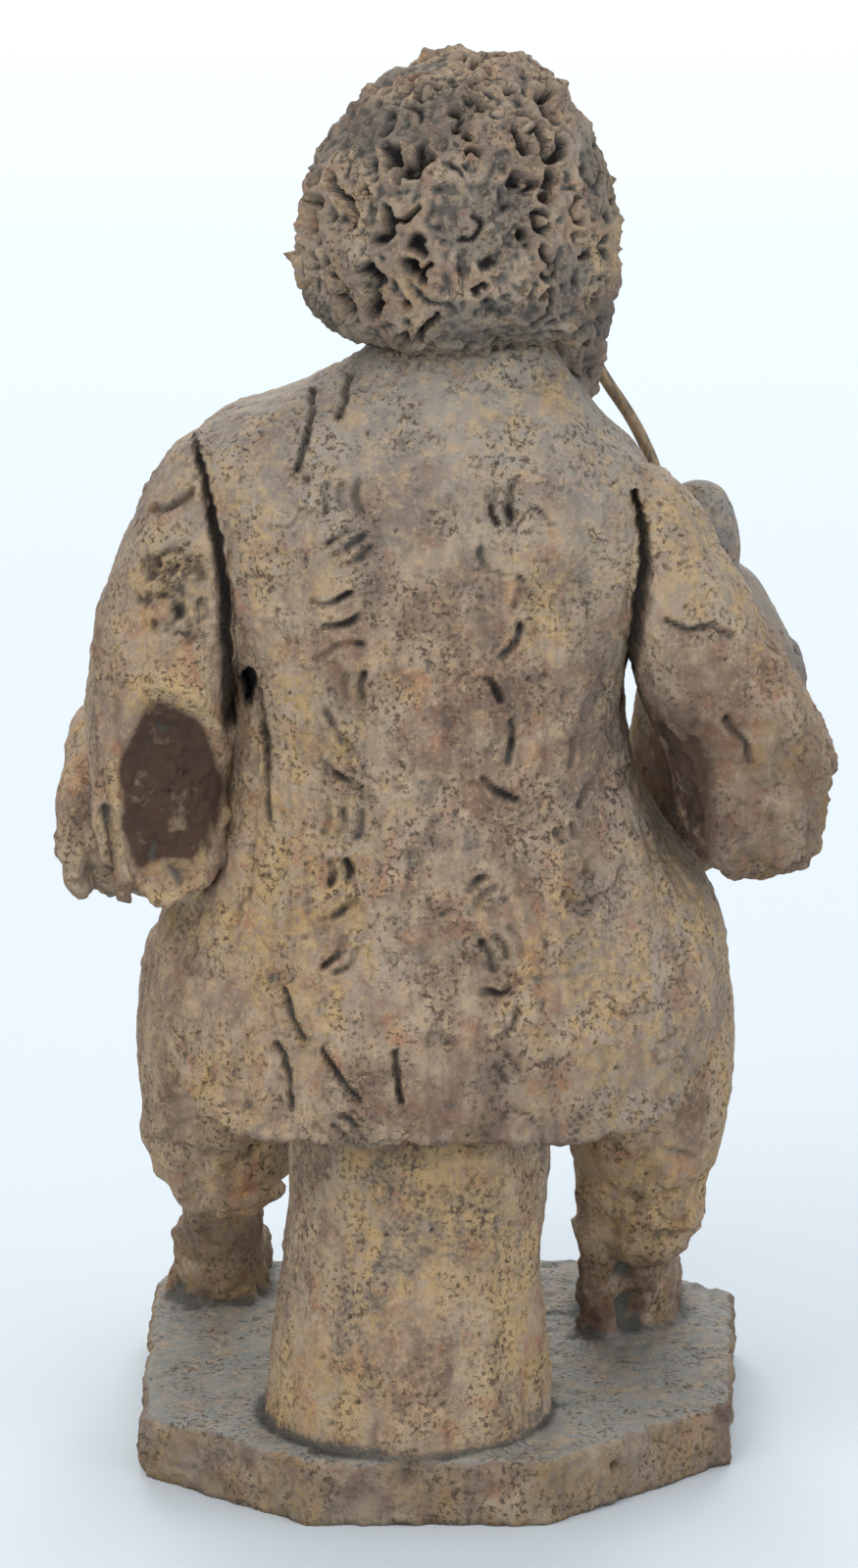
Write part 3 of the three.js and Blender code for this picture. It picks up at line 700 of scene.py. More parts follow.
left_hand = hand(
    [(35, -14, 96, 5.6, 4.4), (28, -21, 94.4, 6.2, 4.2), (21, -27, 92, 6.4, 3.8)],
    (18.6, -30, 96.4), [(-7, -8.4, -2.4), (-6, 6.4, -1.6)], (-0.2, 0, -3.4),
    [(25, -20, 97.6, 2.8, 2.6), (18, -24, 97, 2.5, 2.4), (12, -25, 95, 2.2, 2.2)],
)
right_hand = hand(
    [(-48, 0, 99, 6.4, 4.4), (-48.6, -6, 99, 7, 4.2), (-48.2, -12, 99.4, 7, 3.6)],
    (-48, -14, 104.6), [(5, -7.4, 1.4), (8.4, -1.6, 0.4)], (0.5, -0.2, -3.6),
    [(-48.8, -4, 104, 2.8, 2.6), (-49.4, -6, 109.4, 2.6, 2.4), (-47.6, -8, 114.4, 2.2, 2.2)],
)
CUFF_FOLDS = [  # small rolls pressed along the cuffs
    [(-50.4, 24, 107, 1.6, 1.6), (-51.9, 21, 103, 2.0, 2.2), (-51.4, 19, 98, 1.5, 1.8)],
    [(-49.4, 27, 98, 1.6, 1.8), (-50.4, 25, 93.6, 2.0, 2.2), (-48.6, 24, 89.4, 1.5, 1.7)],
    [(43.4, 33.6, 111, 1.2, 1.5), (46.2, 34.0, 103, 1.9, 1.7), (44.6, 34.4, 94, 2.0, 1.7),
     (42.4, 35.0, 87.4, 1.5, 1.5)],
    [(32.4, 34.6, 118.6, 1.0, 1.2), (37.0, 37.2, 119.6, 1.3, 1.3), (42.4, 35.4, 116.4, 1.1, 1.2)],
    [(32.0, 34.6, 92.4, 1.1, 1.3), (36.4, 34.8, 89.6, 1.4, 1.4), (41, 33.6, 89.6, 1.0, 1.1)],
]
arm_skins = [roll(s, square=q, round_end=e) for s, q, e in LEFT_ARM + RIGHT_ARM + BAG]
arm_skins += [roll(s, round_end=0.3, around=24, along=20) for s in CUFF_FOLDS]
arm_skins += [roll(CHANTER, Z_AXIS, round_end=0.03), *left_hand, *right_hand]
arm_points, arm_faces = fused(arm_skins, 0.46)

# %% [markdown]
# ### Working the sleeves
#
# The sleeves are rougher than the coat. There is a torn crumbly patch on the left upper arm, the hollow
# oval at the left elbow, pinched creases across the right sleeve, and finger ridges pressed into the clay.
# Real finger ridges are about 0.45 mm apart, too fine for this mesh, so they are drawn 0.95 mm apart. The
# bag keeps only grains and pinholes.

# %% Marks on the arms
CREASES = [
    [(-30.4, 127.8), (-33, 126.6), (-36.4, 127.4), (-39.4, 125.8)],
    [(-29.6, 112.6), (-33, 106), (-34.4, 98)],
    [(-38.2, 114.6), (-41.0, 111.2), (-42.0, 108.6)],
    [(33.6, 145.0), (36.4, 142.8), (39.0, 142.0)],
]
LOBE_NOTCH = [(45.9, 101.0), (44.7, 97.0), (45.3, 92.0), (44.9, 89.0)]
OVAL = (36.8, 103.4, 7.4, 14.8)


def oval_share(p):
    """Distance from the middle of the left elbow's hollow, as a share of its edge: 1 on the edge."""
    x, z, wide, tall = OVAL
    place = warped(p, 5, 0.9, 77)
    share = np.hypot((place[:, 0] - x) / wide, (place[:, 2] - z) / tall)
    return np.where(p[:, 1] > 25, share, FAR)


def patch_share(p):
    """1 inside the torn patch on the left upper arm, 0 outside, with a frayed edge."""
    place = warped(p, 4, 1.4, 88)
    share = np.hypot((place[:, 0] - 36.4) / 5.6, (place[:, 2] - 131.6) / 6.6)
    return np.where(p[:, 1] > 26, 1 - smooth(0.75, 1.1, share), 0.0)


def bag_share(p):
    """1 on the bag, its stock and the chanter, which are smooth, and 0 on the sleeves and hands."""
    right = smooth(14.5, 10.5, p[:, 1]) * smooth(-27, -29, p[:, 0]) * smooth(-52.5, -50.5, p[:, 0])
    stock = smooth(126, 129, p[:, 2]) * smooth(9, 6, p[:, 1])
    return np.maximum(right * smooth(99, 109, p[:, 2] + 3 * noise(p, 8, 95)), stock)


def worked_arms(p, n):
    """The sleeves' points moved along their normals by folds, creases, the patch, the oval and grains."""
    soft = bag_share(p)
    height = (1 - 0.55 * soft) * thumbed(p, 101) + (1 - 0.5 * soft) * grainy(p, 111)
    height += (1 - soft) * 0.28 * rough(p, 5.5, 3, 121)
    frayed = warped(p, 2.2, 0.5, 131)
    behind = p[:, 1] > 16
    creases = np.where(behind, nearest(frayed[:, [0, 2]], CREASES), FAR)
    height += scratch(creases, 0.5, 0.9, 0.4)
    patch = patch_share(p)
    height += patch * (1.3 * rough(p, 1.7, 3, 141) + 0.5 * noise(p, 3.4, 143) - 0.5)
    notch = np.where(behind, line_distance(frayed[:, [0, 2]], LOBE_NOTCH), FAR)
    height -= 1.5 * (1 - smooth(0.25, 1.5, notch))
    share = oval_share(p)
    height -= 2.1 * (1 - smooth(0.55, 0.98, share))
    height += (1.1 + 0.7 * rough(p, 2.6, 2, 151)) * np.exp(-(((share - 1.08) / 0.1) ** 2))
    scoop = 1 - smooth(0.8, 1.0, share)
    height += scoop * (0.35 * rough(p, 2.4, 3, 161, stretch=(1, 1, 2.4)) + 0.3 * rough(p, 1.1, 2, 163))
    ridges = np.sin(2 * np.pi * (frayed @ (0.83, 0.1, 0.55)) / 0.95)
    printed = smooth(0.1, 0.5, noise(p, 13, 171)) * (1 - patch) * (1 - soft) * smooth(0.9, 1.2, share)
    height += 0.09 * ridges * printed
    edges = behind * smooth(-38, -44, p[:, 0]) + behind * smooth(97, 90, p[:, 2])
    height += 0.8 * np.clip(edges, 0, 1) * rough(p, 3.4, 3, 191)
    height -= 0.8 * pore_depth(p, ARM_PORES)
    height -= 1.3 * np.where(behind, np.exp(-((p[:, 0] + 33.5) / 4.0) ** 2) * smooth(114, 108, p[:, 2]), 0)
    moved = p + n * height[:, None]
    moved[:, 1] -= open_depth(back_marks(p))
    return moved


ARM_PORES = pores_on(arm_points, 120, 9)
arm_normals = settled(normals_of(arm_points, arm_faces), arm_faces, 3)
arm_points = worked_arms(arm_points, arm_normals)


def arm_look(points, faces):
    """The numbers that the clay's colour reads on the sleeves, hands and bag, with painted shade in the
    creases, the elbow hollow and on the right sleeve.
    """
    share = oval_share(points)
    creases = nearest(warped(points, 2.2, 0.5, 131)[:, [0, 2]], CREASES)
    creases = np.where(points[:, 1] > 16, creases, FAR)
    # painted shade on the right sleeve's lower part, the side turned away from the key light
    right = smooth(-20, -30, points[:, 0]) * smooth(132, 108, points[:, 2])
    patch = patch_share(points) * smooth(0.25, -0.35, rough(points, 1.7, 3, 141))
    notch = 1 - smooth(0.2, 0.9, line_distance(points[:, [0, 2]], LOBE_NOTCH))
    notch = 0.35 * np.where(points[:, 1] > 16, notch, 0)
    open_mask = 0.6 * (1 - smooth(0.75, 1.15, back_marks(points)["arms"]))
    # painted shade inside the elbow hollow, fading towards its lower right, where ochre rises instead
    scoop = 1 - smooth(0.8, 1.02, share)
    lower_right_of_oval = smooth(-1, -8, 0.5 * (points[:, 0] - OVAL[0]) + 0.55 * (points[:, 2] - OVAL[1])
                   + 5 * rough(points, 4, 3, 165))
    # painted shade in the pinched hollow on the right sleeve
    tucked = np.exp(-(((points[:, 0] + 32.6) / 3.6) ** 2)) * smooth(119, 112, points[:, 2])
    tucked *= smooth(10, 16, points[:, 1]) * (0.35 + 0.9 * smooth(-0.5, 0.4, rough(points, 4, 3, 167)))
    return {
        "painted_recess_shade": smooth(0.15, 1.0, hollowness(points, faces, 36)),
        # painted shade in the creases, the armholes, the torn patch and the lobe's notch
        "painted_groove_shade": np.clip(np.maximum.reduce([
            0.5 * (1 - smooth(0.2, 0.75, creases)), open_mask, 0.5 * patch, notch]), 0, 1),
        "dust": np.clip(0.55 * bag_share(points) + 0.3 * smooth(120, 140, points[:, 2]), 0, 1),
        # painted shade in the elbow hollow, on the right sleeve's lower part and in its pinched hollow; the
        # torn patch is darker
        "stain_and_painted_shade": np.clip(scoop * (1.45 - 1.1 * lower_right_of_oval) + 0.6 * patch + 0.4 * right + tucked, 0, 1.45),
        "ochre": (0.7 * np.exp(-(((share - 1.1) / 0.14) ** 2)) + 0.25 * smooth(20, 30, points[:, 0])
                  + 0.9 * scoop * lower_right_of_oval + 0.6 * patch_share(points)),
    }


sleeves = finished("sleeves_hands_and_bag", arm_points, arm_faces, arm_look)

# %% [markdown]
# ## Head, hair and beard
#
# The head is turned towards the bag. The hair is one cap of clay that was gouged all over with a small
# wire loop while soft: curved bites that overlap, with torn rims, and round holes poked between them.
# Every bite here is a short arc with a place, a plane and a radius, and the skin is pushed in along it and
# raised beside it. The face is a plain calm one on the usual proportions: the eyes halfway down the head,
# the nose ending halfway from there to the beard, the ears hidden by hair.

# %% Cap of hair and face
HEAD_AT, HEAD_TURN = np.array([-2.4, 13.5, 179.5]), math.radians(34)
SKULL = np.array([17.6, 19.2, 20.0])
HAIR_WIDE, HAIR_DEEP, HAIR_ABOVE, HAIR_BELOW, HAIR_DROP, HAIR_SQUARE = 22.4, 22.4, 25.6, 14.6, -4.0, 3.2


def hair_cover(d):
    """1 where hair covers the skull and 0 on the face, an upright oval low on the front (-Y)."""
    in_front = smooth(-0.25, -0.5, d[..., 1])
    return 1 - in_front * (1 - smooth(0.72, 1.05, np.hypot(d[..., 0] / 0.72, (d[..., 2] + 0.28) / 0.82)))


def hairy_head():
    """Directions over a sphere, each at the skull's radius on the face and at the mop's elsewhere. The mop
    is a dome above and a boxy, nearly level cut below."""
    around = np.linspace(0, 2 * np.pi, 180, endpoint=False)
    up = np.linspace(-np.pi / 2, np.pi / 2, 122)[1:-1, None]
    d = np.stack([np.cos(up) * np.cos(around), np.cos(up) * np.sin(around), np.sin(up) + 0 * around], -1)
    cover = hair_cover(d)[..., None]
    level = np.hypot(d[..., 0], d[..., 1])
    low = d[..., 2] < 0
    full = np.where(low, level ** (2 / HAIR_SQUARE - 1), 1.0)
    below = -HAIR_BELOW * np.abs(d[..., 2]) ** (2 / HAIR_SQUARE)
    high = np.where(low, below, HAIR_ABOVE * d[..., 2])
    mop = np.stack([d[..., 0] * full * HAIR_WIDE, d[..., 1] * full * HAIR_DEEP, HAIR_DROP + high], -1)
    return closed_skin(d * SKULL * (1 - cover) + mop * cover)


def beard():
    """A boxy ball whose surface waves in long upright locks, thinner at the top where the lip is."""
    points, faces = ball((0, 0, 0), (1, 1, 1), around=120, rows=90)
    boxy = (np.abs(points) ** 3).sum(1) ** (-1 / 3)
    locks = np.sin(11 * points[:, 0] + 4 * points[:, 2]) * np.sin(9 * points[:, 2] + 3 * points[:, 0])
    share = boxy + 0.07 * locks - 0.12 * smooth(0.2, 0.9, points[:, 2])
    return points * share[:, None] * (14, 9.4, 16.2) + (0, -11.5, -17.2), faces


def face_skins():
    """Nose, lip, brows, eyes between their lids, cheeks and moustache, as small rolls and balls."""
    skins = [
        roll([(0, -18.4, 3.4, 1.8, 2), (0, -20.2, -0.8, 2.2, 2.4), (0, -22, -4.6, 3, 2.8)], round_end=0.2),
        ball((0, -21.6, -5.2), (3.0, 2.5, 2.1)),
        roll([(-4.2, -18.2, -11.4, 1.2, 1.3), (0, -19.9, -11.8, 1.4, 1.7), (4.2, -18.2, -11.4, 1.2, 1.3)],
             Z_AXIS, round_end=0.3),
    ]
    for side in (-1, 1):
        def sided(stations):
            return [(side * x, *rest) for x, *rest in stations]

        skins += [
            ball((side * 2.9, -20.6, -5.8), (1.5, 1.9, 1.5), around=28, rows=18),
            roll(sided([(2.4, -18.4, 4.6, 1.3, 1.5), (7.4, -17.4, 5.8, 1.4, 1.6),
                        (12, -13.8, 4.2, 1.2, 1.4)]),
                 Z_AXIS, round_end=0.3),
            ball((side * 7, -16.2, 0.6), (2.9, 2.3, 1.9)),
            roll(sided([(3.8, -17.6, 0.8, 0.5, 0.9), (7.2, -18.3, 2.3, 0.6, 1.0),
                        (10.6, -15.6, 0.9, 0.5, 0.9)]),
                 Z_AXIS, round_end=0.2, around=24, along=24),
            roll(sided([(3.9, -17.6, 0.2, 0.4, 0.8), (7.0, -18.2, -1.3, 0.5, 0.9),
                        (10.4, -15.6, 0.3, 0.4, 0.8)]),
                 Z_AXIS, round_end=0.2, around=24, along=24),
            ball((side * 9.4, -14.4, -5.2), (5.2, 4, 4.6)),
            roll(sided([(0.4, -20.8, -8.4, 1.7, 1.9), (5.4, -19.2, -9.8, 2.2, 2.2),
                        (10.6, -15, -13.8, 1.6, 1.8)]),
                 Z_AXIS, round_end=0.25),
        ]
    return skins


head_points, head_faces = fused([hairy_head(), beard(), *face_skins()], 0.36)

# %% [markdown]
# ## Gouged curls
#
# The loop takes out a curved trough and leaves a rim on both sides. The bites overlap, so that what stays
# between them reads as locks of hair. Holes are then poked at random places in the hair, and some patches are
# left calmer, as on the real head, where the tool was pressed less.

# %% Bites of the wire loop
def bites():
    """Arcs strewn evenly over the head by a golden-angle spiral, then jittered. Each has a middle on the
    skin, two directions along the skin, a radius, a start angle, a sweep, a half width and a depth."""
    rng = np.random.default_rng(41)
    count = 230
    k = np.arange(count) + 0.5
    up = 1 - 2 * k / count
    turn = k * np.pi * (3 - np.sqrt(5))
    level = np.sqrt(1 - up**2)
    heading = np.stack([level * np.cos(turn), level * np.sin(turn), up], 1) + rng.normal(0, 0.06, (count, 3))
    heading /= np.linalg.norm(heading, axis=1, keepdims=True)
    centres = np.array([0, -2.0, -2.0])
    reach = (head_points - centres) / np.linalg.norm(head_points - centres, axis=1, keepdims=True)
    found = []
    for d in heading:
        nearest_point = np.argmax(reach @ d)
        at, up = head_points[nearest_point], head_normals[nearest_point]
        side = np.cross(up, rng.normal(size=3))
        side /= np.linalg.norm(side)
        radius = rng.choice([1.0, 1.5, 2.3, 3.4]) * rng.uniform(0.85, 1.15)
        sweep = rng.uniform(2.0, 4.4) if radius < 2 else rng.uniform(0.7, 1.9)
        found.append((at, up, side, radius, rng.uniform(0, 2 * np.pi), sweep,
                      rng.choice([0.42, 0.55, 0.8, 1.25]) * rng.uniform(0.85, 1.1), rng.uniform(1.7, 3.5)))
    return found


def arc_distance(p, at, d, side, radius, start, sweep):
    """Distance along the skin from an arc of a circle about `at` in the plane square to d, and how far
    round the arc the nearest point lies, from 0 to 1."""
    u, v = (p - at) @ side, (p - at) @ np.cross(d, side)
    turn = np.mod(np.arctan2(v, u) - start, 2 * np.pi)
    on = turn <= sweep
    rim = np.abs(np.hypot(u, v) - radius)
    ends = [radius * np.array([np.cos(start + a), np.sin(start + a)]) for a in (0.0, sweep)]
    tips = np.minimum(*[np.hypot(u - e[0], v - e[1]) for e in ends])
    return np.where(on, rim, tips), np.clip(turn / sweep, 0, 1)


def bitten(p):
    """How deep the loop went at each point and how high its torn rim stands, both in mm. A later bite
    through an old rim cuts it away, so the deepest cut wins and rims are lowered by cuts."""
    frayed = warped(warped(p, 2.6, 0.7, 51), 0.9, 0.22, 57)
    deep, rim = np.zeros(len(p)), np.zeros(len(p))
    for at, d, side, radius, start, sweep, half, depth in BITES:
        near = np.flatnonzero(np.abs(p - at).max(axis=1) < radius + 3.4)
        q = frayed[near]
        distance, along = arc_distance(q, at, d, side, radius, start, sweep)
        cut = depth * (1 - smooth(0.62 * half, 1.12 * half, distance)) * (0.65 + 0.35 * np.sin(np.pi * along))
        lip = 0.75 * np.exp(-(((distance - half - 0.5) / 0.42) ** 2))
        deep[near] = np.maximum(deep[near], cut)
        rim[near] = np.maximum(rim[near], lip)
    return deep, rim * (1 - smooth(0.1, 0.6, deep))


def sinews(p):
    """Torn ridges left between broad scoops: 1 along the lines where either of two warped noises passes
    through 0, and 0 away from them."""
    place = warped(p, 4, 1.2, 205)
    first = 1 - smooth(0.04, 0.3, np.abs(noise(place, 7.5, 201)))
    second = 1 - smooth(0.03, 0.24, np.abs(noise(place, 4.6, 206)))
    return np.maximum(first, 0.75 * second)


def holes_in_hair():
    """Round holes poked with a stick: middle and radius of each."""
    rng = np.random.default_rng(6)
    back = np.flatnonzero((hair_cover_of(head_points) > 0.9) & (head_points[:, 2] > -19))
    return np.column_stack([head_points[rng.choice(back, 46, replace=False)], rng.uniform(0.7, 1.4, 46)])


def hair_cover_of(p):
    """hair_cover for points instead of directions."""
    q = p / SKULL
    return hair_cover(q / np.linalg.norm(q, axis=1, keepdims=True))


def beard_share(p):
    """1 on the beard and moustache, 0 above them."""
    return smooth(-9.5, -11.5, p[:, 2] - 0.16 * np.abs(p[:, 0])) * smooth(-5, -9, p[:, 1])


def worked_head(p, n):
    """The head's points moved by locks, bites, holes and crumbs in the hair, and by soft dents in the
    face. The beard is drawn out in long wavy locks instead of bites."""
    hair = np.maximum(hair_cover_of(p), beard_share(p))
    hair = settled(hair[:, None], head_faces, 8)[:, 0]
    long_locks = beard_share(p) * smooth(-8, -10.5, p[:, 1])
    deep, rim = bitten(p)
    calm = smooth(0.0, 0.3, noise(p, 9, 207)) * (1 - beard_share(p))
    bite = hair * (1 - 0.55 * long_locks) * (1 - 0.7 * calm)
    height = hair * (0.9 * noise(p, 9.5, 202) + 0.3 * rough(p, 3.2, 2, 203) - 0.9)
    height += hair * (1 - long_locks) * (1 - 0.75 * calm) * sinews(p) * (1.0 + 0.45 * noise(p, 3.0, 204))
    height += bite * (rim - deep)
    wave = 0.9 * noise(p, 5, 211)
    height += 0.8 * long_locks * np.sin(2 * np.pi * (p[:, 0] + wave + 0.35 * np.sin(0.5 * p[:, 2])) / 2.6)
    height += hair * (0.27 * rough(p, 1.3, 2, 221) + 0.35 * smooth(0.4, 0.8, noise(p, 1.6, 223)))
    height -= 3.8 * hair * pore_depth(warped(p, 2, 0.3, 209), HOLES)
    ragged = smooth(-13.5, -18.0, p[:, 2]) * smooth(-6, 2, p[:, 1])
    height += 1.1 * ragged * rough(p, 3.4, 3, 231)
    skin = 1 - hair
    height += skin * (0.12 * noise(p, 7, 241) + 0.05 * rough(p, 1.4, 2, 243))
    return p + n * height[:, None]


head_normals = settled(normals_of(head_points, head_faces), head_faces, 10)
head_normals /= np.linalg.norm(head_normals, axis=1, keepdims=True)
BITES, HOLES = bites(), holes_in_hair()
head_points = worked_head(head_points, head_normals)


HEAD_SPIN = np.array([[math.cos(HEAD_TURN), -math.sin(HEAD_TURN), 0],
                      [math.sin(HEAD_TURN), math.cos(HEAD_TURN), 0], [0, 0, 1]])


def turned_head(p):
    """Head points set in their place: turned about Z towards the bag, then moved up to the neck."""
    return p @ HEAD_SPIN + HEAD_AT


def head_look(points, faces):
    """The numbers that the clay's colour reads: painted shade in the hair's hollows and under it, warm
    crests.
    """
    local = (points - HEAD_AT) @ HEAD_SPIN.T
    hair = np.maximum(hair_cover_of(local), beard_share(local))
    low = hollowness(points, faces, 14)
    wide = hollowness(points, faces, 60)
    sunk = smooth(-0.1, 0.35, low + 0.4 * wide) + 0.4 * smooth(0.0, 0.3, noise(local, 9, 207))
    return {
        # painted shade in the hollows of the hair and face, and over the hair's calm patches
        "painted_recess_shade": np.clip(hair * sunk + 0.4 * (1 - hair) * smooth(0.1, 0.7, low), 0, 1),
        # painted shade in the hair's deeper hollows
        "painted_groove_shade": np.clip(hair * smooth(0.2, 0.62, low + 0.5 * wide), 0, 1),
        "dust": 0.25 * hair,
        # painted shade on the underside of the hair and beard
        "stain_and_painted_shade": 0.45 * hair * smooth(-6, -16, local[:, 2]),
        "ochre": 0.2 * (1 - hair) + 0.3 * hair * smooth(0, -0.4, low),
    }


head = finished("head_hair_and_beard", turned_head(head_points), head_faces, head_look)

# %% [markdown]
# ## Slab, stump, legs and shoes
#
# The slab was cut from a rolled sheet with a knife, so its top is flat and its edges are torn and crumbly.
# The stump was wiped upwards with a wet finger. The trousers are two baggy rolls, cracked round the cuffs
# where the clay was bent, and a small post of clay props one heel. The underside stays perfectly level, so
# that the figurine stands.

# %% Base and legs
SLAB_CORNERS = [(-27.0, -43), (34.4, -43), (42.4, -36), (42.4, 24), (18.4, 43), (-14.8, 43), (-40.8, 19),
                (-43.0, -28)]
SLAB_THICK, SLAB_REACH, SLAB_ARRIS = 9.5, 42, 0.8
STUMP = [(5.0, 21.5, 6.5, 20.4, 19.8), (4.6, 21.5, 20, 19.4, 18.9), (4.0, 21.0, 33, 18.1, 17.8),
         (2.9, 20.5, 46, 18.2, 18.2), (2.4, 20.0, 60, 18.8, 18.6), (2.2, 19.5, 72, 19.4, 19)]
LEGS = [
    ([(12, 18, 66, 12, 12), (20, 4, 66.4, 12.4, 12), (28, -11, 66.6, 12.6, 12),
      (31.6, -22.5, 65, 10.8, 11.4)], 2.0, 0.2),
    ([(31.4, -18, 72, 9.6, 9), (32.2, -18, 60, 11.2, 12), (32.6, -18.4, 46, 11.2, 12),
      (32.2, -19, 36, 11.4, 11.6), (31.8, -20, 28, 9.8, 10)], 2.0, 0.14),
    ([(31.6, -24, 30, 6.0, 6.4), (32.4, -26.6, 20, 6.2, 6.4), (33.2, -29.2, 12, 7.8, 6.8),
      (33.2, -29.6, 8, 8.8, 7.0)], 2.0, 0.0),
    ([(-9, 18, 66, 12, 12), (-17, 5, 66.4, 12.4, 12), (-25, -8, 66.6, 12.6, 12),
      (-29.6, -18.5, 65, 10.8, 11.4)], 2.0, 0.2),
    ([(-29.6, -13, 72, 9.6, 9), (-30.2, -12, 60, 11.6, 12), (-29.4, -12, 46, 12.2, 12),
      (-29, -12.4, 36, 10.4, 10.6), (-29.4, -12.6, 26, 8.4, 8.6), (-29.6, -13, 20, 6.6, 7)], 2.0, 0.12),
    ([(-28, -15, 30, 6.2, 7), (-28, -17.6, 19, 6.4, 7.2), (-28, -19.6, 12, 7.4, 7.6),
      (-28, -20, 8, 8.2, 7.8)], 2.0, 0.0),
    ([(-22.4, -8.4, 34, 3, 3), (-22.6, -9.8, 22, 3.2, 3), (-22.8, -11.4, 8.8, 3.4, 2.8)], 2.0, 0.0),
]
CUFF_RIMS = [  # torn rims pinched out round the trouser ends
    [(22.6, -12.6, 31.5, 1.4, 1.8), (28.4, -9.0, 29.0, 1.6, 2.0), (35.6, -9.6, 29.6, 1.6, 2.0),
     (41.2, -14.4, 32.5, 1.3, 1.8)],
    [(-37.2, -10.6, 31.5, 1.4, 1.9), (-33.6, -4.8, 28.5, 1.6, 1.9), (-27.6, -4.4, 29.4, 1.5, 1.8),
     (-22.0, -7.4, 32.0, 1.2, 1.7)],
]


def shoe(x, heel):
    """A roll laid along the foot, with its flat half sunk into the slab."""
    return roll([
        (x, heel + 3, SLAB_THICK + 4.4, 6.4, 5.4), (x, heel - 6, SLAB_THICK + 4.8, 6.8, 6.2),
        (x, heel - 15, SLAB_THICK + 3.2, 7.2, 4.8), (x, heel - 23, SLAB_THICK + 2.2, 6, 3.6),
    ], square=2.4, round_end=0.2)


def slab():
    """The slab's outline at four levels, drawn in by about SLAB_ARRIS at the top and the bottom edge."""
    corners = np.array(SLAB_CORNERS, float)
    share = np.linspace(0, 1, 36, endpoint=False)[:, None]
    outline = np.concatenate([a + share * (b - a) for a, b in zip(corners, np.roll(corners, -1, axis=0))])
    rings = []
    levels = ((0, SLAB_ARRIS), (SLAB_ARRIS, 0), (SLAB_THICK - SLAB_ARRIS, 0), (SLAB_THICK, SLAB_ARRIS))
    for z, inset in levels:
        flat = outline * (1 - inset / SLAB_REACH)
        rings.append(np.column_stack([flat, np.full(len(flat), z)]))
    return closed_skin(np.array(rings))


base_skins = [slab(), roll(STUMP, round_end=0), shoe(32.6, -24), shoe(-28, -15)]
base_skins += [roll(s, square=q, round_end=e) for s, q, e in LEGS]
base_skins += [roll(s, round_end=0.3, around=28, along=30) for s in CUFF_RIMS]
base_points, base_faces = fused(base_skins, 0.5)

# %% [markdown]
# ### Working the base
#
# The stump keeps the upright wipes of a finger. The slab's cut edge crumbles and its top is pitted. The
# trousers are creased across, torn round the cuffs and lumpy at the ankles, where the least care was taken.

# %% Marks on the base
FOLDS = [  # creases in the trousers, as (x, z) seen from behind
    [(24, 47), (29, 45.4), (34.6, 46.6), (40, 44.8)],
    [(23.6, 39.6), (28, 37.0), (33.4, 37.6)],
    [(36.6, 42.6), (40, 39.6), (42.6, 37.4)],
    [(-22, 41.8), (-26.6, 39.6), (-31, 40.8), (-36, 38.4)],
    [(-24.0, 33.8), (-28.4, 32.2), (-33, 33.4)],
    [(-19.2, 24.8), (-19.6, 18.0), (-19.4, 12.0)],
]
SLAB_PIT = np.array([-24.6, 34.5, 5.6, 1.25])


def outline_inset(p):
    """Distance in mm of each point inside the slab's outline, from the nearest of its eight sides."""
    corners = np.array(SLAB_CORNERS, float)
    away = np.full(len(p), 1e9)
    for start, stop in zip(corners, np.roll(corners, -1, axis=0)):
        way = (stop - start) / np.linalg.norm(stop - start)
        away = np.minimum(away, (p[:, 0] - start[0]) * -way[1] + (p[:, 1] - start[1]) * way[0])
    return away


def worked_base(p, n):
    """The base's points moved by wiping on the stump, folds and torn cuffs on the legs, crumbs on the
    slab's edge and pits in its top. Points of the underside stay at height 0."""
    inset = outline_inset(p)
    on_slab = smooth(SLAB_THICK + 0.8, SLAB_THICK - 0.3, p[:, 2])
    edge = on_slab * smooth(1.6, 0.2, inset)
    top = smooth(0.7, 0.95, n[:, 2]) * on_slab
    stump = smooth(24, 22, np.hypot(p[:, 0] - 3.4, p[:, 1] - 21)) * (1 - on_slab)
    legs = (1 - stump) * (1 - on_slab)
    height = (0.3 + 0.45 * (1 - on_slab)) * thumbed(p, 301) + (1 - 0.35 * on_slab) * grainy(p, 311)
    height += 0.2 * stump * rough(p, 2.2, 2, 321, stretch=(1, 1, 8))
    height += edge * (0.62 * rough(p, 3.0, 3, 331) - 0.45 * smooth(0.35, 0.8, noise(p, 4.5, 335)))
    height -= 0.35 * top * smooth(0.35, 0.75, noise(p, 2.6, 341))
    frayed = warped(p, 2.4, 0.6, 351)
    folds = np.where(p[:, 1] < 4, nearest(frayed[:, [0, 2]], FOLDS), FAR)
    height += legs * scratch(folds, 0.7, 0.45, 0.2)
    cuffs = legs * smooth(44, 34, p[:, 2]) * smooth(22, 26, p[:, 2])
    ankles = legs * smooth(32, 26, p[:, 2])
    height += 0.9 * cuffs * rough(p, 5, 2, 361) + 0.3 * legs * rough(p, 7, 2, 371)
    height += ankles * (0.8 * rough(p, 5, 3, 373) + 0.3 * noise(p, 1.8, 375))
    height -= 0.9 * pore_depth(p, BASE_PORES)
    height -= 2.2 * pore_depth(p, [SLAB_PIT])
    moved = p + n * height[:, None]
    moved[:, 2] = np.where(p[:, 2] < 0.5, 0.0, np.maximum(moved[:, 2], 0.0))
    return moved


BASE_PORES = pores_on(base_points, 260, 13, (0.3, 0.7))
base_normals = settled(normals_of(base_points, base_faces), base_faces, 3)
base_points = worked_base(base_points, base_normals)


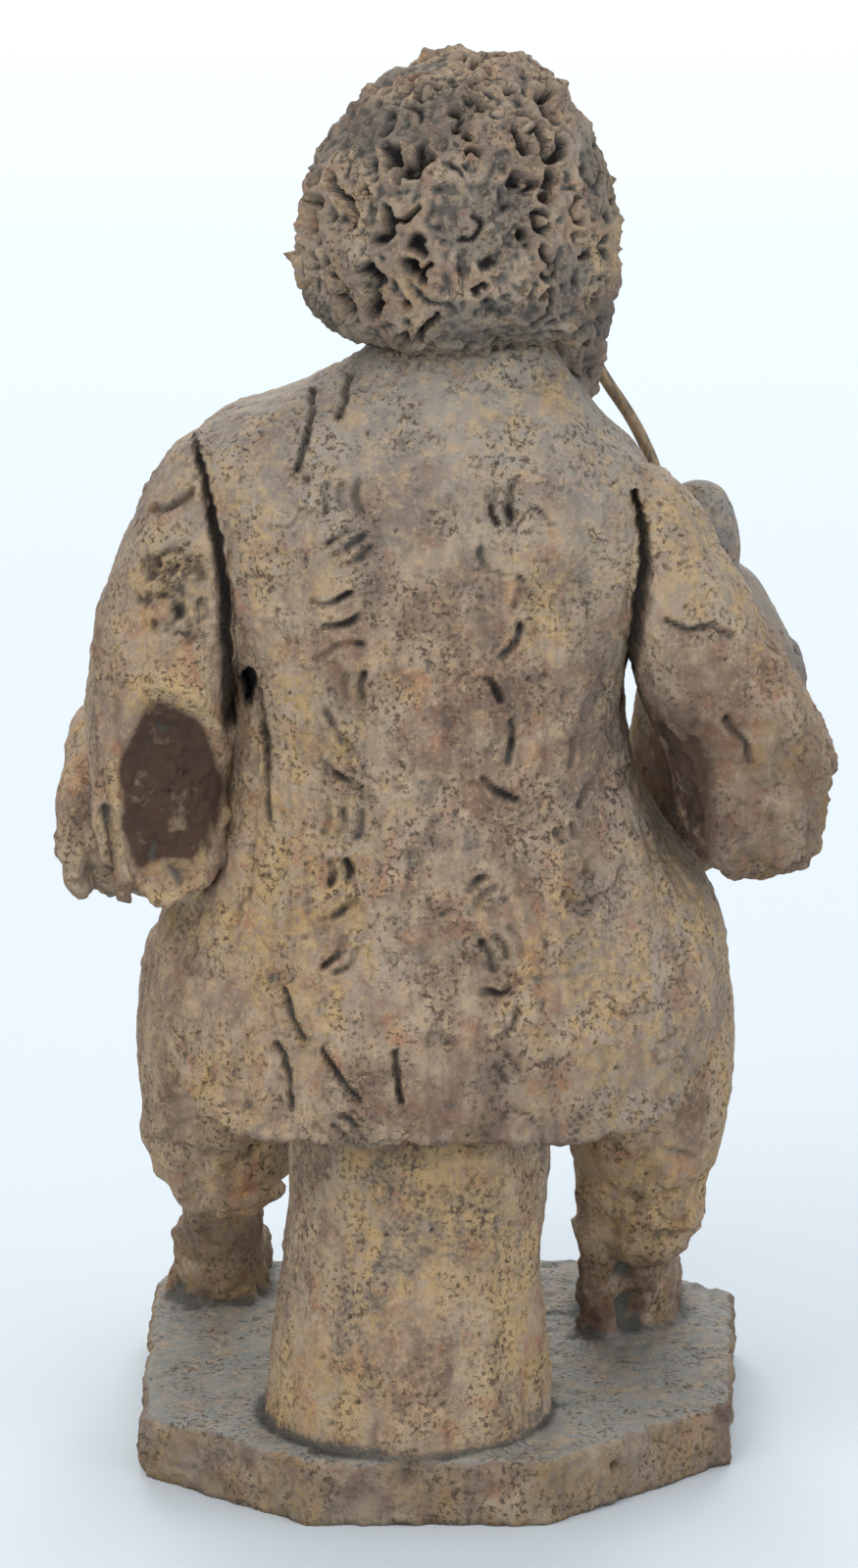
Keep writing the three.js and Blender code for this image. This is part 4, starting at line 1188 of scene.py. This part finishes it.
def base_look(points, faces):
    """The numbers that the clay's colour reads: grey dust on the slab's top, ochre wiped on the stump, and
    painted shade round the stump's foot, under the coat's hem and low on the legs.
    """
    on_slab = smooth(SLAB_THICK + 0.9, SLAB_THICK - 0.1, points[:, 2])
    up = smooth(0.6, 0.95, settled(normals_of(points, faces), faces, 3)[:, 2])
    folds = nearest(warped(points, 2.4, 0.6, 351)[:, [0, 2]], FOLDS)
    folds = np.where((points[:, 1] < 4) & (points[:, 2] > 12), folds, FAR)
    # a ring round the stump's foot, painted dark as shade where the stump meets the slab
    foot = np.abs(np.hypot(points[:, 0] - 5, points[:, 1] - 21.5) - 20.4)
    stump = smooth(24, 22, np.hypot(points[:, 0] - 3.4, points[:, 1] - 21)) * (1 - on_slab)
    # painted shade low on the legs and shoes, near the slab
    under = smooth(26, 20, points[:, 2]) * (1 - on_slab) * (1 - stump)
    pit = pore_depth(points, [SLAB_PIT])
    shaded = smooth(60, 72, points[:, 2]) * smooth(6, 14, points[:, 1]) + stump * smooth(50, 57, points[:, 2])
    return {
        "painted_recess_shade": smooth(0.15, 0.9, hollowness(points, faces, 36)),
        # painted shade in the trouser folds, in a ring round the stump's foot on the slab, and in the slab's
        # pit
        "painted_groove_shade": np.clip(0.12 * (1 - smooth(0.3, 0.9, folds)) + 0.55 * (1 - smooth(0.2, 1.2, foot)) * on_slab
                          + 2 * pit, 0, 1),
        "dust": np.clip(1.7 * on_slab * up + 0.15 * on_slab * (1 - up), 0, 1),
        # the slab's sides darker than its top, and painted shade low on the legs, on the thighs under the
        # coat and on the stump's top under the hem
        "stain_and_painted_shade": np.clip(0.4 * on_slab * (1 - up) + 0.55 * under + 0.5 * shaded, 0, 1),
        "ochre": 0.7 * stump * smooth(-0.5, 0.3, noise(points, 17, 381)) + 0.3 * (1 - up),
        "wash": 0.75 * stump * smooth(-0.1, 0.5, rough(points, 9, 3, 385, stretch=(1, 1, 1.8))),
    }


base = finished("slab_stump_and_legs", base_points, base_faces, base_look)

# %% [markdown]
# ## Blowpipe
#
# A thin cane, bent while it was green, runs from the lips over the chest into the top of the bag. It is a
# circle carried along a spline. Its two ends run on into the beard and the bag, so the cane never floats.

# %% Blowpipe
PIPE_ROUTE = [(-11.4, -0.6, 168.4), (-14.6, -7.6, 165.6), (-18.4, -11.4, 159.4), (-22.6, -11.6, 151.4),
              (-26.6, -9.8, 145.6), (-29.6, -8.2, 139.6), (-31.8, -7, 132.6), (-33.4, -6, 125.6),
              (-35, -5.2, 119.6)]
PIPE_RADIUS = 0.9
PIPE_STATIONS = [(*place, PIPE_RADIUS, PIPE_RADIUS) for place in PIPE_ROUTE]
pipe_points, pipe_faces = roll(PIPE_STATIONS, round_end=0.01, around=28, along=180)
pipe_points += 0.03 * np.stack([noise(pipe_points, 2.4, 401 + k) for k in range(3)], axis=1)
pipe = finished("cane_blowpipe", pipe_points, pipe_faces, lambda points, faces: {})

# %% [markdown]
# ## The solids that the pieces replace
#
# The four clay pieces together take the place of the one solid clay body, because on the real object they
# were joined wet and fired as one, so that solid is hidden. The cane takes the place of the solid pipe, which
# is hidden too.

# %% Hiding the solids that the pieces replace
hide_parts("seated_piper")
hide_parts("seated_piper")
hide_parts("seated_piper")
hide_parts("seated_piper")
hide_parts("blowpipe")
print("pieces:", [piece.name for piece in (coat, sleeves, head, base, pipe)])

# %% [markdown]
# ## Finishes
#
# Each finish is a chain of nodes. One small function adds a node with its settings and links, and one turns
# a written colour into the numbers that the shader works with. All patterns are laid out in the object's
# own space, with their size given in real millimetres.

# %% Colours and nodes
def colour(text):
    """A hex colour as linear red, green, blue and 1: each part is (c + 0.055) / 1.055 to the power 2.4,
    or c / 12.92 when it is very dark."""
    parts = [int(text[i : i + 2], 16) / 255 for i in (1, 3, 5)]
    return (*[((c + 0.055) / 1.055) ** 2.4 if c > 0.04045 else c / 12.92 for c in parts], 1.0)


def node(tree, kind, inputs=None, **settings):
    """A new node of this kind. Each input is a value, or an output socket of another node to link."""
    new = tree.nodes.new(kind)
    for name, value in settings.items():
        setattr(new, name, value)
    for name, value in (inputs or {}).items():
        if isinstance(value, bpy.types.NodeSocket):
            tree.links.new(value, new.inputs[name])
        else:
            new.inputs[name].default_value = value
    return new


def new_material(name):
    """An empty material with its node tree and the object's own coordinates."""
    made = bpy.data.materials.new(name)
    made.use_nodes = True
    made.node_tree.nodes.clear()
    place = node(made.node_tree, "ShaderNodeTexCoord").outputs["Object"]
    return made, made.node_tree, place


print("middle grey as light:", round(colour("#808080")[0], 3))

# %% [markdown]
# ## Fired clay
#
# The real surface is low-fired grogged clay that was never glazed. It is dry and dull. Its body colour
# wanders between warm brown, yellow ochre and, where iron gathered, a redder rust. Blue-grey wash and soot
# stay in the hollows, and handling has worn the crests to a pale tan. Painted shade darkens the hollows,
# grooves, creases and undersides further. The grain is that of fine grog.
# The finish is kept as tables, because it is one thing done again and again: a colour is laid thinly over
# the last, where a noise or a number stored on the mesh says.

# %% Fired clay
STORED = ("painted_recess_shade", "painted_groove_shade", "dust", "stain_and_painted_shade", "ochre", "wash")
GRAINS = {  # name: size in mm, detail, roughness, scale along z
    "wide": (26, 3, 0.6, 1.0), "patchy": (9, 4, 0.65, 1.0), "speck": (2.2, 3, 0.7, 1.0),
    "fine": (0.8, 2, 0.7, 1.0), "streak": (2.0, 3, 0.65, 0.16), "worn": (4, 4, 0.7, 1.0),
    "yellowed": (7, 4, 0.7, 1.0), "rusty": (5.2, 4, 0.7, 1.0), "veil": (17, 5, 0.7, 0.55),
    "smeared": (3.2, 4, 0.75, 1.0), "settled": (6, 4, 0.7, 1.0), "sooted": (7, 3, 0.6, 1.0),
    "fleck": (0.55, 1, 0.5, 1.0), "grit": (0.4, 2, 0.6, 1.0),
}
SUMS = {  # name: first, second, share of the second
    "broken": ("speck", "fine", 0.5), "smudge": ("smeared", "fine", 0.3), "seep": ("patchy", "speck", 0.4),
    "powder": ("settled", "fine", 0.3), "sunken": ("painted_recess_shade", "stain_and_painted_shade", 1.0),
}
CLAY_BODY = "#85766a"
LAYERS = [  # colour laid over the one before, and its share: a number's name, or name, from, to, top
    ("#92826f", [("wide", 0.38, 0.62, 1.0)]),
    ("#745f50", [("patchy", 0.42, 0.62, 0.85)]),
    ("#a08f7b", [("worn", 0.44, 0.6, 0.5)]),
    ("#9c8560", ["ochre", ("yellowed", 0.4, 0.6, 1.0)]),
    ("#8a624a", [("rusty", 0.53, 0.66, 0.8)]),
    ("#9b8053", [("veil", 0.48, 0.58, 0.8), ("broken", 0.66, 0.8, 1.0)]),
    ("#644f42", [("veil", 0.48, 0.38, 0.75)]),
    ("#5b5047", [("streak", 0.5, 0.7, 0.5)]),
    ("#3d3f42", ["wash", ("smudge", 0.5, 0.8, 1.0)]),
    # dark brown: real wash and stains, and painted shade under the hem and hair, in hollows, on the right
    # side and low on the legs
    ("#3f2e24", ["stain_and_painted_shade", ("seep", 0.4, 0.7, 1.0)]),
    ("#787975", ["dust", ("powder", 0.36, 0.66, 1.0)]),
    # painted shade: hollows darkened grey, as if less light reached them
    ("#424341", [("painted_recess_shade", 0.1, 0.8, 0.85)]),
    ("#a68e6e", [("speck", 0.48, 0.7, 0.5), ("sunken", 0.25, 0.0, 1.0)]),
    ("#3f342b", [("fine", 0.51, 0.62, 0.85), ("sooted", 0.36, 0.58, 1.0)]),
    ("#a8906c", [("fleck", 0.63, 0.73, 0.4), ("stain_and_painted_shade", 0.6, 0.1, 1.0)]),
    # painted shade: near black in grooves, creases, cracks, armholes and pits
    ("#1a1716", ["painted_groove_shade"]),
]
ROUGH = [("fine", 0.6), ("speck", 0.7), ("grit", 0.45)]


def clay_material():
    """Colour: each layer is mixed over the last by the product of its terms, and a term runs from 0 to its
    top as the number runs between two levels. Relief: the sum of share * grain over ROUGH."""
    made, tree, place = new_material("fired_clay_unglazed_patinated")
    number = {name: node(tree, "ShaderNodeAttribute", attribute_name=name).outputs["Fac"] for name in STORED}
    for name, (size, detail, roughness, upright) in GRAINS.items():
        spot = node(tree, "ShaderNodeMapping", {"Vector": place, "Scale": (1.0, 1.0, upright)})
        number[name] = node(tree, "ShaderNodeTexNoise", {
            "Vector": spot.outputs[0], "Scale": 1 / (size * MM), "Detail": detail, "Roughness": roughness,
        }).outputs["Fac"]
    for name, (first, second, share) in SUMS.items():
        number[name] = node(tree, "ShaderNodeMath", {
            0: number[second], 1: share, 2: number[first],
        }, operation="MULTIPLY_ADD").outputs[0]

    body = colour(CLAY_BODY)
    for text, terms in LAYERS:
        share = 1.0
        for term in terms:
            if isinstance(term, str):
                value = number[term]
            else:
                name, low, high, top = term
                value = node(tree, "ShaderNodeMapRange", {
                    "Value": number[name], "From Min": low, "From Max": high, "To Min": 0.0, "To Max": top,
                }, clamp=True).outputs[0]
            share = node(tree, "ShaderNodeMath", {0: share, 1: value}, operation="MULTIPLY").outputs[0]
        body = node(tree, "ShaderNodeMix", {0: share, 6: body, 7: colour(text)}, data_type="RGBA").outputs[2]

    height = 0.0
    for name, share in ROUGH:
        height = node(tree, "ShaderNodeMath", {
            0: number[name], 1: share, 2: height,
        }, operation="MULTIPLY_ADD").outputs[0]
    bump = node(tree, "ShaderNodeBump", {"Height": height, "Strength": 0.6, "Distance": 0.35 * MM})
    shader = node(tree, "ShaderNodeBsdfPrincipled", {
        "Base Color": body, "Roughness": 0.88, "IOR": 1.5, "Specular IOR Level": 0.25,
        "Normal": bump.outputs[0],
    })
    node(tree, "ShaderNodeOutputMaterial", {"Surface": shader.outputs[0]})
    return made


clay = clay_material()
for piece in (coat, sleeves, head, base):
    piece.data.materials.append(clay)
print("clay nodes:", len(clay.node_tree.nodes))

# %% [markdown]
# ## Cane
#
# A thin dark cane, rubbed by handling: long fibres run along it in streaks of tan and brown.

# %% Cane
def cane_material():
    """Two browns mixed by a noise drawn out along the pipe, with fine fibres in the bump."""
    made, tree, place = new_material("cane_smoked_and_rubbed")
    fibre = node(tree, "ShaderNodeMapping", {"Vector": place, "Scale": (1.0, 1.0, 0.22)}).outputs[0]
    streak = node(tree, "ShaderNodeTexNoise", {"Vector": fibre, "Scale": 1 / (0.7 * MM), "Detail": 3.0})
    ramp = node(tree, "ShaderNodeMapRange", {
        "Value": streak.outputs["Fac"], "From Min": 0.35, "From Max": 0.65,
    })
    mix = node(tree, "ShaderNodeMix", {
        0: ramp.outputs[0], 6: colour("#5a4c3d"), 7: colour("#8c7555"),
    }, data_type="RGBA")
    bump = node(tree, "ShaderNodeBump", {
        "Height": streak.outputs["Fac"], "Strength": 0.4, "Distance": 0.1 * MM,
    })
    shader = node(tree, "ShaderNodeBsdfPrincipled", {
        "Base Color": mix.outputs[2], "Roughness": 0.5, "IOR": 1.5, "Normal": bump.outputs[0],
    })
    node(tree, "ShaderNodeOutputMaterial", {"Surface": shader.outputs[0]})
    return made


pipe.data.materials.append(cane_material())
print("cane:", pipe.data.materials[0].name)

# %% [markdown]
# ## Floor and light
#
# The figurine stands on white paper under broad soft light. A very large plain sheet fills the view behind
# it, and a bright pale surround lights it from all sides. Three soft panels stand behind the figure, where
# the viewer is: one high on the left, one low on the right and one near the floor, so that the relief can
# be read and the legs aren't lost in the coat's shade. A very large one beyond it whitens the far paper.

# %% Paper, surround and panels
def paper():
    """A flat white sheet, 12 m across, whose top is at height 0."""
    half = 6000.0
    corners = np.array([(-half, -half, 0), (half, -half, 0), (half, half, 0), (-half, half, 0)])
    sheet = bpy.data.objects.new("paper", mesh_of("paper", corners * MM, np.array([[0, 1, 2, 3]])))
    bpy.context.collection.objects.link(sheet)
    made, tree, _ = new_material("white_paper_matt")
    shader = node(tree, "ShaderNodeBsdfPrincipled", {
        "Base Color": colour("#bdc5cb"), "Roughness": 0.95, "Specular IOR Level": 0.1,
    })
    node(tree, "ShaderNodeOutputMaterial", {"Surface": shader.outputs[0]})
    sheet.data.materials.append(made)
    return sheet


def panel(name, place, size, watts, tint):
    """A square soft light at `place` mm that faces the middle of the figurine."""
    light = bpy.data.lights.new(name, "AREA")
    light.energy, light.size, light.color = watts, size * MM, colour(tint)[:3]
    lamp = bpy.data.objects.new(name, light)
    lamp.location = np.array(place) * MM
    way = np.array([0, 10, 100]) - np.array(place)
    tip = math.acos(-way[2] / np.linalg.norm(way))
    lamp.rotation_euler = (tip, 0, math.atan2(way[1], way[0]) - math.pi / 2)
    bpy.context.collection.objects.link(lamp)
    return lamp


def surround(tint, strength):
    """An even pale light from every side."""
    world = bpy.data.worlds.new("studio")
    world.use_nodes = True
    world.node_tree.nodes["Background"].inputs["Color"].default_value = colour(tint)
    world.node_tree.nodes["Background"].inputs["Strength"].default_value = strength
    bpy.context.scene.world = world


paper()
surround("#f8fbff", 0.9)
panel("key", (480, 620, 900), 600, 5.0, "#fffaf2")
panel("low", (150, 950, 130), 700, 3.1, "#fffcf8")
panel("fill", (-800, 620, 300), 800, 4.4, "#f4f8ff")
panel("far", (0, -3200, 1700), 2800, 150.0, "#ffffff")
bpy.context.scene.view_settings.view_transform = "Standard"
